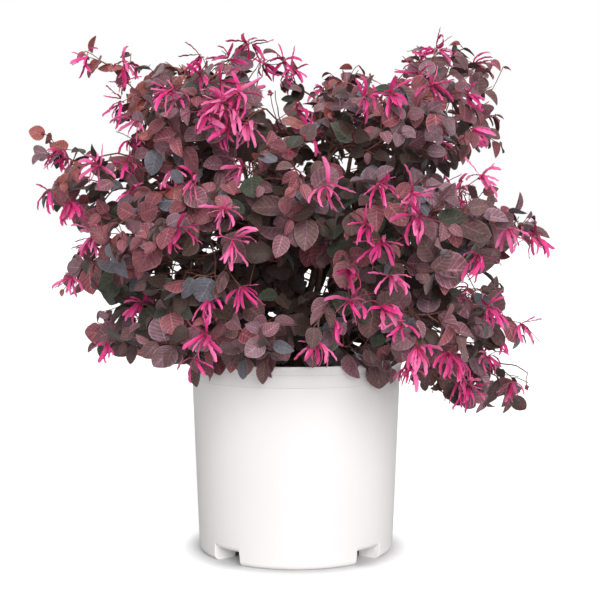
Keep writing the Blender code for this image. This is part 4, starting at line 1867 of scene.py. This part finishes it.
@dataclass
class MassPlan:
    """The choice of one mass's targets, which adds to those that it was given."""

    rule: TargetRule
    canopy: Canopy
    mass: LeafMass
    given: list[Target]
    rng: random.Random
    draw: np.random.Generator

    def targets(self) -> list[Target]:
        """Chooses the mass's targets.

        Returns:
            Its middle, then the rest from the shrub's heart outwards, those that end growth last.
        """
        heart = self.canopy.HEART
        self.given += self.blooms()
        tips = self.tips()
        skin = self.skin(self.given + tips)
        chosen = self.given + tips + skin + self.inside(self.given + skin)
        chosen.sort(key=lambda target: (target.ends_growth, (target.place - heart).length))
        return [Target(self.mass.centre, (self.mass.centre - heart).normalized(), inner=True), *chosen]

    def blooms(self) -> list[Target]:
        """Chooses blooms for the sides, the back and the top.

        Returns:
            The blooms.
        """
        rule, chosen = self.rule, []
        for place, normal in self.mass.skin_points(self.draw, rule.bloom_tries):
            if normal.dot((self.canopy.eye - place).normalized()) >= rule.bloom_turned_away:
                continue
            exposure = self.canopy.exposure(self.mass, place, normal)
            if exposure < rule.bloom_exposure or normal.z < rule.bloom_least_rise:
                continue
            clear = clear_of(place, [*self.given, *chosen], rule.bloom_spacing)
            if clear and self.canopy.behind(place, rule.bloom_reach):
                size = self.rng.choice(rule.bloom_sizes)
                chosen.append(Target(place, normal, ShootEnd.BLOOM, size=size))
        return chosen

    def tips(self) -> list[Target]:
        """Chooses the ends of the mass's longest sprays.

        Returns:
            The ends.
        """
        rule, chosen = self.rule, []
        for place, way in self.mass.tips([Vector(way).normalized() for way in rule.tip_ways]):
            spot = place - way * rule.tip_inset
            open_way = self.canopy.exposure(self.mass, place, way) > rule.tip_exposure
            if open_way and clear_of(spot, [*self.given, *chosen], rule.tip_spacing):
                chosen.append(Target(spot, way, whip=True))
        return chosen

    def skin(self, taken: Sequence[Target]) -> list[Target]:
        """Chooses shoot ends all over the mass's open skin, and ones where it meets a neighbour that take the
        dark inner colours, mostly painted shade.

        Args:
            taken: Targets to keep clear of.

        Returns:
            The ends.
        """
        rule, chosen = self.rule, []
        for place, normal in self.mass.skin_points(self.draw, rule.skin_tries):
            exposure = self.canopy.exposure(self.mass, place, normal)
            parted = exposure < rule.parted_exposure
            inset = rule.parted_inset if parted else rule.inset
            spot = place - normal * (inset * self.rng.uniform(0.5, 1.5))
            spacing = rule.parted_spacing if parted else rule.skin_spacing / sqrt(exposure)
            if not clear_of(spot, [*taken, *chosen], spacing):
                continue
            if spot.y < rule.recess_depth and self.canopy.in_recess(spot):
                continue
            buds = exposure > rule.buds_exposure and self.rng.random() < rule.buds_share
            chosen.append(Target(spot, normal, ShootEnd.BUDS if buds else ShootEnd.LEAVES, inner=parted))
        return chosen

    def inside(self, taken: Sequence[Target]) -> list[Target]:
        """Chooses a few shoot ends inside the mass.

        Args:
            taken: Targets to keep clear of.

        Returns:
            The ends.
        """
        rule, mass, chosen = self.rule, self.mass, []
        for spot in self.draw.uniform(mass.low, mass.high, (rule.inner_tries, 3)):
            place = Vector(spot)
            if mass.depth(place) < rule.inner_depth:
                continue
            if clear_of(place, [*taken, *chosen], rule.inner_spacing):
                out = (place - mass.centre + UP * 0.01).normalized()
                chosen.append(Target(place, out, inner=True))
        return chosen


@dataclass(frozen=True)
class Bough:
    """A bough of the frame, from the trunk to where it enters its mass."""

    points: list[Vector]
    foot_radius: float
    tip_radius: float

    SIDES = 6
    BEND_REACH = 0.030
    BEND_RISE = 0.15
    ROOF_REACH = 0.100
    ROOTED = 0.007
    STEPS = 9
    COLLAR = 0.35
    COLLAR_FADE = 6.0

    @classmethod
    def from_frame(cls, mass: LeafMass) -> "Bough":
        """Reads the bough that carries a mass from its solid's two ends.

        Args:
            mass: The mass.

        Returns:
            The bough, with its middle line as a smooth bend.
        """
        mesh = frame["nodes"][f"bough_{mass.name}"].data
        corners = sorted({tuple(round(c, 6) for c in vertex.co) for vertex in mesh.vertices})
        flat = Vector((mass.centre.x, mass.centre.y, 0.0))
        leaving = UP if flat.length < cls.ROOF_REACH else flat.normalized()
        ordered = sorted((Vector(corner) for corner in corners), key=lambda point: point.dot(leaving))
        ends = []
        for ring in (ordered[:cls.SIDES], ordered[-cls.SIDES:]):
            middle = sum(ring, Vector()) / len(ring)
            ends.append((middle, min((point - middle).length for point in ring)))
        (start, foot_radius), (end, tip_radius) = ends
        bend = start + leaving * cls.BEND_REACH + UP * ((end.z - start.z) * cls.BEND_RISE)
        inner = start - leaving * cls.ROOTED
        points = [inner] + bezier(start, start.lerp(bend, 2 / 3), end.lerp(bend, 2 / 3), end, cls.STEPS)
        return cls(points, foot_radius, tip_radius)

    def line(self) -> Line:
        """Returns the bough as a tapering line with a collar where it leaves the trunk."""
        radii = []
        for i in range(len(self.points)):
            share = i / (len(self.points) - 1)
            collar = self.COLLAR * max(0.0, 1.0 - share * self.COLLAR_FADE)
            radii.append((self.foot_radius + (self.tip_radius - self.foot_radius) * share) * (1 + collar))
        return Line(self.points, radii)


@dataclass(frozen=True)
class Trunk:
    """The short trunk: a flare with three buttresses, an even taper and a slight lean."""

    foot: float = 0.2223
    top: float = 0.316
    foot_radius: float = 0.0190
    radius: float = 0.0118
    top_radius: float = 0.0100
    flare_height: float = 0.020
    lean: tuple[float, float, float] = (0.0030, -0.0015, 0.0)
    sides: int = 28
    rows: int = 40
    relief: float = 0.0011
    buttresses: int = 3
    buttress: float = 0.16
    buttress_turn: float = 0.6
    ridge_scale: float = 260.0

    def build(self, bark: Material) -> None:
        """Makes the trunk with its bark's relief.

        Args:
            bark: Its material.
        """
        points = []
        for row in range(self.rows):
            height = self.foot + (self.top - self.foot) * row / (self.rows - 1)
            up = height - self.foot
            share = up / (self.top - self.foot)
            flare = max(0.0, 1.0 - up / self.flare_height)
            radius = self.radius + (self.top_radius - self.radius) * share
            radius += (self.foot_radius - self.radius) * flare ** 2
            for i in range(self.sides):
                turn = tau * i / self.sides
                ribs = cos(self.buttresses * turn + self.buttress_turn)
                reach = radius * (1.0 + self.buttress * flare * ribs)
                spot = polar(reach, turn, height)
                streak = Vector((spot.x, spot.y, spot.z * 0.3)) * self.ridge_scale
                ridge = noise.fractal(streak, 0.6, 2.2, 3)
                spot = polar(reach + self.relief * (ridge - 0.4), turn, height)
                points.append(spot + Vector(self.lean) * share ** 1.5)
        points += [Vector((0, 0, self.foot)), Vector((0, 0, self.top)) + Vector(self.lean)]
        trunk = mesh_object("trunk_bark", points, capped_faces(self.rows, self.sides))
        trunk.data.materials.append(bark)
        finish_piece(trunk, ["trunk"])


@dataclass
class Framework:
    """Every bough's tree of shoots, grown on from the frame's limbs."""

    canopy: Canopy
    rule: BranchingRule = BranchingRule()
    targets: TargetRule = TargetRule()
    boughs: dict[str, Bough] = field(default_factory=dict)
    shoots: dict[str, list[Shoot]] = field(default_factory=dict)

    LIMB_RADIUS = 0.0015
    LIMB_LOAD = 6
    STEM_START = 3
    LIMBS = TubeRule(9, 0.004, 0.0009, 420.0)
    TWIGS = TubeRule(5, 0.008, 0.0002, 500.0)

    def grow(self) -> None:
        """Grows the shoots of every bough into its own mass and those that it carries."""
        plans = self.targets.plan(self.canopy)
        for name, mass in self.canopy.masses.items():
            if name in CARRIED:
                continue
            bough = Bough.from_frame(mass)
            carried = [other for other, carrier in CARRIED.items() if carrier == name]
            wanted = [target for part in (name, *carried) for target in plans[part]]
            rng = random.Random(f"shoots {name}")
            wanted.extend(self.targets.along(self.canopy, bough.points[self.STEM_START:], rng))
            self.boughs[name] = bough
            self.shoots[name] = self.rule.grow(bough.points[self.STEM_START:], wanted, rng)
            log.info("bough_%s: %d shoots", name, len(self.shoots[name]))

    def build(self, bark: Material, twig_bark: Material) -> None:
        """Makes the boughs, the limbs inside the masses and the twigs.

        Args:
            bark: The limbs' material.
            twig_bark: The twigs' material.
        """
        tree = tube_tree()
        limbs = [bough.line() for bough in self.boughs.values()]
        twigs = []
        for name, shoots in self.shoots.items():
            root_load = max((shoot.load[0] for shoot in shoots), default=1.0)
            fit = min(1.0, self.boughs[name].tip_radius / self.rule.radius(root_load))
            for shoot in shoots:
                radii = [self.rule.radius(load) * (fit if load > self.LIMB_LOAD else 1.0)
                         for load in shoot.load]
                (limbs if radii[0] > self.LIMB_RADIUS else twigs).append(Line(shoot.points, radii))
        boughs = [f"bough_{name}" for name in self.boughs]
        finish_piece(self.LIMBS.build("limbs_bark", limbs, tree, bark), boughs)
        finish_piece(self.TWIGS.build("twigs", twigs, tree, twig_bark), self.canopy.nodes)


@dataclass(frozen=True)
class PotRoom:
    """Where the pot's wall is, so that nothing grows through it."""

    rim: float = 0.2470
    lip: float = 0.1390
    inner: float = 0.1285
    mix: float = 0.2245

    def crosses(self, points: Sequence[Vector]) -> bool:
        """Tells whether a leaf or petal would pass through the pot or the potting mix.

        Args:
            points: Points along it.

        Returns:
            Whether they touch the wall or lie on both sides of it.
        """
        sides = set()
        for point in points:
            reach = hypot(point.x, point.y)
            if point.z > self.rim:
                continue
            if reach >= self.lip:
                sides.add("outside")
            elif reach <= self.inner and point.z > self.mix:
                sides.add("inside")
            else:
                return True
        return len(sides) > 1


def colour_pieces(tree: GeometryTree, shapes: ShapeBox, kind: str, placements: dict[Enum, Placement],
                  replaced: Sequence[str] = ()) -> None:
    """Makes one piece for each colour.

    Args:
        tree: The placing tree.
        shapes: The shapes to pick from.
        kind: What the pieces' names start with.
        placements: Where the shapes of each colour go.
        replaced: CAD nodes that each piece stands for.
    """
    for tone, placement in placements.items():
        piece = placement.build(tree, shapes, f"{kind}_{tone.value.name}", tone.value.material())
        finish_piece(piece, replaced)
    shapes.clear()


@dataclass
class Foliage:
    """The leaves: two rows along every shoot, in sprays that each have a colour."""

    canopy: Canopy
    room: PotRoom
    length: float = 0.0335
    spacing: float = 0.0112
    reach: float = 0.090
    most_load: float = 3.6
    scatter: float = 0.40
    gap_margin: float = 0.007
    recess_margin: float = 0.005
    bloom_margin: float = 0.011
    rng: random.Random = field(default_factory=lambda: random.Random("leaves"))
    placements: dict[LeafTone, Placement] = field(
        default_factory=lambda: {tone: Placement() for tone in LeafTone})
    blooms: list[Vector] = field(default_factory=list)

    # Colours, by weight
    MATURE = ((LeafTone.PLUM, 36), (LeafTone.MAUVE, 12), (LeafTone.COCOA, 18), (LeafTone.SLATE, 8),
              (LeafTone.BOTTLE, 4), (LeafTone.BURGUNDY, 18))
    # Low down the colours run darker, some of them the umber painted shade.
    LOW = ((LeafTone.PLUM, 26), (LeafTone.MAUVE, 8), (LeafTone.COCOA, 32), (LeafTone.SLATE, 10),
           (LeafTone.BOTTLE, 10), (LeafTone.BURGUNDY, 6), (LeafTone.UMBER, 12))
    # Inner, parted and stem sprays are mostly the umber leaves: painted shade inside the shrub.
    INNER = ((LeafTone.UMBER, 64), (LeafTone.COCOA, 18), (LeafTone.BOTTLE, 14), (LeafTone.PLUM, 4))
    LOW_HEIGHT = 0.38
    LOW_BLUR = 0.02
    STRAY_SHARE = 0.38

    # The flush of young leaves, more of it high up and on the left
    FLUSH = (0.10, 0.40, 0.30)
    FLUSH_HEIGHT, FLUSH_RISE, FLUSH_REACH = 0.45, 0.2, 0.33
    COPPER_HIGH, COPPER_LEFT = 0.6, 0.5
    YOUNG_COUNTS = (2, 3, 4, 6)

    # Long shoots
    WHIP_FLUSH = 0.75
    WHIP_COUNTS = (3, 5, 7)
    WHIP_LEAVES = 7
    WHIP_SPACING = 1.3
    WHIP_GROWTH = 0.84
    WHIP_DROOP = 0.5
    WHIP_SCATTER = 0.50

    # How leaves stand
    TIP_RUN, BLOOM_RUN = 0.002, 0.007
    LIGHT_SHARES = (0.62, 0.30, 0.35, 0.42)
    TILT, TILT_SPREAD, TIP_TILT = 52, 10, 0.45
    DROOP = (0.10, 0.55)
    DROOPING_LEAVES = 3
    HANG_CLEAR = 0.16

    # How large they are
    GROWTH = (0.70, 0.86, 0.96, 1.0)
    SIZE, SIZE_SPREAD, LEAST_SIZE, MOST_SIZE = 0.97, 0.21, 0.45, 1.32
    WIDTHS = (0.86, 1.12)
    HIGH_CUT, HIGH_FROM, HIGH_RISE = 0.17, 0.42, 0.12

    # How far back the flowering side and its recesses reach
    FRONT_REACH = 0.08
    RECESS_FRONT, RECESS_BACK = -0.10, 0.04

    def dress(self, shoot: Shoot) -> None:
        """Puts a shoot's leaves on, from its tip down to where it gets woody.

        Args:
            shoot: The shoot.
        """
        target = shoot.target
        light = self.light_on(target)
        mature, young, young_count = self.deal(target)
        run = self.BLOOM_RUN if target.end is ShootEnd.BLOOM else self.TIP_RUN
        order, side, travelled = 0, self.rng.choice((-1, 1)), 0.0
        walk = list(zip(shoot.points, shoot.load))[::-1]
        for (near, load), (far, _) in zip(walk, walk[1:]):
            leg = (far - near).length
            while run <= travelled + leg:
                if run > self.reach or load > self.most_load:
                    return
                spot = near.lerp(far, (run - travelled) / max(leg, 1e-6))
                tangent = (near - far).normalized()
                stray = self.rng.random() < self.STRAY_SHARE
                tone = young if order < young_count else self.draw_tone(target) if stray else mature
                self.put_leaf(spot, tangent, light, side, order, tone, target)
                order += 1
                side = -side
                gap = self.spacing * self.rng.uniform(0.8, 1.2) * min(1.0, 0.62 + 0.13 * order)
                run += gap * (self.WHIP_SPACING if self.on_whip(target, order) else 1.0)
            travelled += leg

    def light_on(self, target: Target) -> Vector:
        """Returns the way that a spray's leaves turn to: outwards, upwards and to the open side.

        Args:
            target: Where the spray ends.

        Returns:
            That way, one unit long.
        """
        open_side = FLOWERING_SIDE
        if target.place.y >= self.FRONT_REACH:
            open_side = polar(1.0, atan2(*target.place.yx), 0.0)
        ways = (target.outward, UP, (target.place - Canopy.HEART).normalized(), open_side)
        return sum((way * share for way, share in zip(ways, self.LIGHT_SHARES)), Vector()).normalized()

    def on_whip(self, target: Target, order: int) -> bool:
        """Returns whether a leaf is one of the small, wide-set ones at the end of a long shoot."""
        return target.whip and order < self.WHIP_LEAVES

    def deal(self, target: Target) -> tuple[LeafTone, LeafTone, int]:
        """Deals a spray its colours.

        Args:
            target: Where the spray ends.

        Returns:
            The colour of its grown leaves, that of its young ones, and how many are young.
        """
        mature = self.draw_tone(target)
        high = max(0.0, (target.place.z - self.FLUSH_HEIGHT) / self.FLUSH_RISE)
        left = max(0.0, -target.place.x / self.FLUSH_REACH)
        flush = self.FLUSH[0] + self.FLUSH[1] * high + self.FLUSH[2] * left
        if target.whip and target.place.z > self.LOW_HEIGHT:
            flush = self.WHIP_FLUSH
        if target.inner or self.rng.random() > flush:
            return mature, mature, 0
        copper = self.rng.random() < high * self.COPPER_HIGH + left * self.COPPER_LEFT
        counts = self.WHIP_COUNTS if target.whip else self.YOUNG_COUNTS
        return mature, LeafTone.COPPER if copper else LeafTone.BURGUNDY, self.rng.choice(counts)

    def draw_tone(self, target: Target) -> LeafTone:
        """Returns a colour for grown leaves, from the table of their part of the shrub."""
        low = target.place.z + self.rng.gauss(0.0, self.LOW_BLUR) < self.LOW_HEIGHT
        return deal_from(self.rng, self.INNER if target.inner else self.LOW if low else self.MATURE)

    def put_leaf(self, spot: Vector, tangent: Vector, light: Vector, side: int, order: int,
                 tone: LeafTone, target: Target) -> None:
        """Puts down one leaf unless it would close a gap, cover a bloom, stand before a recess or pass
        through the pot; just behind a recess it takes the umber leaves' painted shade.

        Args:
            spot: Its place on the shoot.
            tangent: The shoot's direction there, towards its tip.
            light: The way that the spray's leaves turn to.
            side: The side of the shoot, -1 or 1.
            order: Its number, counted from the tip.
            tone: Its colour.
            target: Where the spray ends.
        """
        rng, whip = self.rng, self.on_whip(target, order)
        young = order < 2 and target.end is ShootEnd.LEAVES or whip
        across = tangent.cross(light).normalized() * side
        tilt = radians(rng.gauss(self.TILT, self.TILT_SPREAD)) * (self.TIP_TILT if order == 0 else 1.0)
        droop = rng.uniform(*self.DROOP) + (target.droop if order < self.DROOPING_LEAVES else 0.0)
        if whip:
            droop += self.WHIP_DROOP
        drop = -UP * droop + target.outward * (target.droop * self.HANG_CLEAR)
        way = (tangent * cos(tilt) + across * sin(tilt) + drop).normalized()
        scatter = self.WHIP_SCATTER if whip else self.scatter
        face = square_to(way, light + gauss_vector(rng) * scatter)
        growth = self.GROWTH[min(order, 3)] * (self.WHIP_GROWTH if whip else 1.0)
        high = min(1.0, max(0.0, (spot.z - self.HIGH_FROM) / self.HIGH_RISE))
        own = min(self.MOST_SIZE, max(self.LEAST_SIZE, rng.gauss(self.SIZE, self.SIZE_SPREAD)))
        size = self.length * growth * own * (1 - self.HIGH_CUT * high)
        shape = rng.choice(YOUNG_SHAPES if young else MATURE_SHAPES)
        shade = rng.uniform(-1, 1)
        middle = spot + way * size * 0.55
        samples = [spot, middle, spot + way * size]
        if self.canopy.in_gap(middle, self.gap_margin) or self.room.crosses(samples):
            return
        if any((middle - bloom).length < self.bloom_margin for bloom in self.blooms):
            return
        if middle.y < self.RECESS_FRONT and self.canopy.in_recess(middle, self.recess_margin):
            return
        # Just behind a recess the leaf takes the umber tone: painted shade.
        if middle.y < self.RECESS_BACK and self.canopy.in_recess(middle):
            tone = LeafTone.UMBER
        width = size * rng.uniform(*self.WIDTHS)
        self.placements[tone].put(spot, way, face, (size, width, size), shape, shade)

    def build(self, tree: GeometryTree) -> None:
        """Makes one piece for each colour of leaf.

        Args:
            tree: The placing tree.
        """
        shapes = ShapeBox("leaf_shapes")
        for shape in LEAF_SHAPES:
            shape.add_to(shapes)
        colour_pieces(tree, shapes, "leaves", self.placements, self.canopy.nodes)


@dataclass
class Blossom:
    """The flower heads: strap petals that spread and hang from shoot ends, with dark buds."""

    room: PotRoom
    length: float = 0.027
    flowers: float = 2.5
    rng: random.Random = field(default_factory=lambda: random.Random("blossom"))
    petals: dict[PetalTone, Placement] = field(
        default_factory=lambda: {tone: Placement() for tone in PetalTone})
    buds: Placement = field(default_factory=Placement)

    TONES = ((PetalTone.CERISE, 48), (PetalTone.ROSE, 34), (PetalTone.MAGENTA, 18))
    STRAY_SHARE = 0.35
    GOLDEN_TURN = 2.39996
    LEANS = (8, 80)
    OPENINGS = (6, 100, 34)
    HANG, PETAL_HANG = 0.50, 0.30
    LENGTHS, WIDTHS = (0.72, 1.15), (0.85, 1.55)
    MOST_GROWTH = 1.10
    HEAD_BUDS, HEAD_BUD = 5, 0.0030
    BUNCH_BUDS, BUNCH_BUD = (5, 9), 0.0042
    BUD_WIDTH, BUD_LIFT = 0.62, 0.7

    def dress(self, shoot: Shoot) -> None:
        """Puts a flower head or a bunch of buds on a shoot's end.

        Args:
            shoot: The shoot.
        """
        tip = shoot.points[-1]
        along = (tip - shoot.points[-2]).normalized()
        if shoot.target.end is ShootEnd.BLOOM:
            self.head(tip, along, shoot.target)
        elif shoot.target.end is ShootEnd.BUDS:
            self.bunch(tip, along, self.rng.randint(*self.BUNCH_BUDS), self.BUNCH_BUD)

    def head(self, tip: Vector, along: Vector, target: Target) -> None:
        """Makes one flower head.

        Args:
            tip: The shoot's end.
            along: The shoot's direction there.
            target: The target, with the head's size and the way out of the shrub.
        """
        rng = self.rng
        axis = (along * 0.40 + target.outward * 0.70 - UP * self.HANG).normalized()
        first = axis.orthogonal().normalized()
        second = axis.cross(first)
        spin = rng.uniform(0, tau)
        tone = deal_from(rng, self.TONES)
        for i in range(max(2, round(self.flowers * target.size * rng.uniform(0.8, 1.25)))):
            lean = radians(rng.uniform(*self.LEANS))
            turn = spin + i * self.GOLDEN_TURN
            way = axis * cos(lean) + (first * cos(turn) + second * sin(turn)) * sin(lean)
            own = deal_from(rng, self.TONES) if rng.random() < self.STRAY_SHARE else tone
            self.flower(tip + way * rng.uniform(0.001, 0.005), way, target.size, own)
        self.bunch(tip, axis, self.HEAD_BUDS, self.HEAD_BUD)

    def flower(self, foot: Vector, axis: Vector, size: float, tone: PetalTone) -> None:
        """Makes one flower of four strap petals.

        Args:
            foot: Its place on the shoot's end.
            axis: The way it faces.
            size: Size of the head that it belongs to.
            tone: Its colour.
        """
        rng = self.rng
        first = axis.orthogonal().normalized()
        second = axis.cross(first)
        spin = rng.uniform(0, tau)
        opening = radians(rng.triangular(*self.OPENINGS))
        for petal in range(4):
            turn = spin + petal * tau / 4 + rng.gauss(0, 0.25)
            out = first * cos(turn) + second * sin(turn)
            spread = opening * rng.uniform(0.7, 1.3)
            way = (axis * cos(spread) + out * sin(spread) - UP * self.PETAL_HANG).normalized()
            face = square_to(way, UP * 0.8 + out * 0.4 + gauss_vector(rng) * 0.35)
            length = self.length * rng.uniform(*self.LENGTHS) * min(self.MOST_GROWTH, 0.84 + 0.18 * size)
            if self.room.crosses([foot, foot + way * length * 0.5, foot + way * length]):
                continue
            width = length * rng.uniform(*self.WIDTHS)
            self.petals[tone].put(foot, way, face, (length, width, length),
                                  rng.randrange(len(STRAP_SHAPES)), rng.uniform(-1, 1))

    def bunch(self, tip: Vector, axis: Vector, count: int, size: float) -> None:
        """Puts a bunch of buds round a shoot's end.

        Args:
            tip: The shoot's end.
            axis: The way that the bunch points.
            count: Number of buds.
            size: Their usual length.
        """
        for _ in range(count):
            way = (axis + gauss_vector(self.rng) * 0.6).normalized()
            length = size * self.rng.uniform(0.8, 1.3)
            width = length * self.BUD_WIDTH
            self.buds.put(tip + way * length * self.BUD_LIFT, way, way.orthogonal().normalized(),
                          (length, width, width), 0, self.rng.uniform(-1, 1))

    def build(self, tree: GeometryTree) -> None:
        """Makes one piece for each colour of petal and one for the buds.

        Args:
            tree: The placing tree.
        """
        straps = ShapeBox("strap_shapes")
        for shape in STRAP_SHAPES:
            shape.add_to(straps)
        colour_pieces(tree, straps, "petals", self.petals)
        bud = ShapeBox("bud_shapes")
        bud.add(*bud_shape())
        piece = self.buds.build(tree, bud, "flower_buds", BudSkin().material())
        finish_piece(piece)
        bud.clear()


def bud_shape(rows: int = 3, sides: int = 5) -> tuple[list[tuple], list[tuple], list[tuple]]:
    """Makes an egg-shaped bud, one unit long each way.

    Args:
        rows: Rings between its two ends.
        sides: Points in each ring.

    Returns:
        Its points, faces and coordinates.
    """
    points, uvs = [], []
    for row in range(rows):
        share = (row + 1) / (rows + 1)
        radius = 0.5 * sin(pi * share ** 0.85)
        for i in range(sides):
            turn = tau * i / sides
            points.append((share - 0.5, radius * cos(turn), radius * sin(turn)))
            uvs.append((share, i / sides))
    points += [(-0.5, 0.0, 0.0), (0.5, 0.0, 0.0)]
    uvs += [(0.0, 0.0), (1.0, 0.0)]
    return points, capped_faces(rows, sides), uvs


def main() -> None:
    """Builds the studio and every piece of the plant."""
    logging.basicConfig(level=logging.INFO, format="%(name)s: %(message)s")
    camera = StudioCamera()
    camera.build()
    Studio().build()
    NurseryPot().build()
    PottingMix().build()
    canopy = Canopy(camera.eye)
    framework = Framework(canopy)
    framework.grow()
    bark = Bark("bark", srgb(84, 62, 52), srgb(124, 100, 84), 90.0, 0.0012).material()
    twig_bark = Bark("twig_bark", srgb(96, 52, 46), srgb(138, 86, 74), 260.0, 0.0003).material()
    Trunk().build(bark)
    framework.build(bark, twig_bark)
    room = PotRoom()
    foliage, blossom = Foliage(canopy, room), Blossom(room)
    shoots = [shoot for grown in framework.shoots.values() for shoot in grown]
    foliage.blooms = [shoot.points[-1] for shoot in shoots if shoot.target.end is ShootEnd.BLOOM]
    for shoot in shoots:
        foliage.dress(shoot)
        blossom.dress(shoot)
    tree = placing_tree()
    foliage.build(tree)
    blossom.build(tree)


if __name__ == "__main__":
    main()
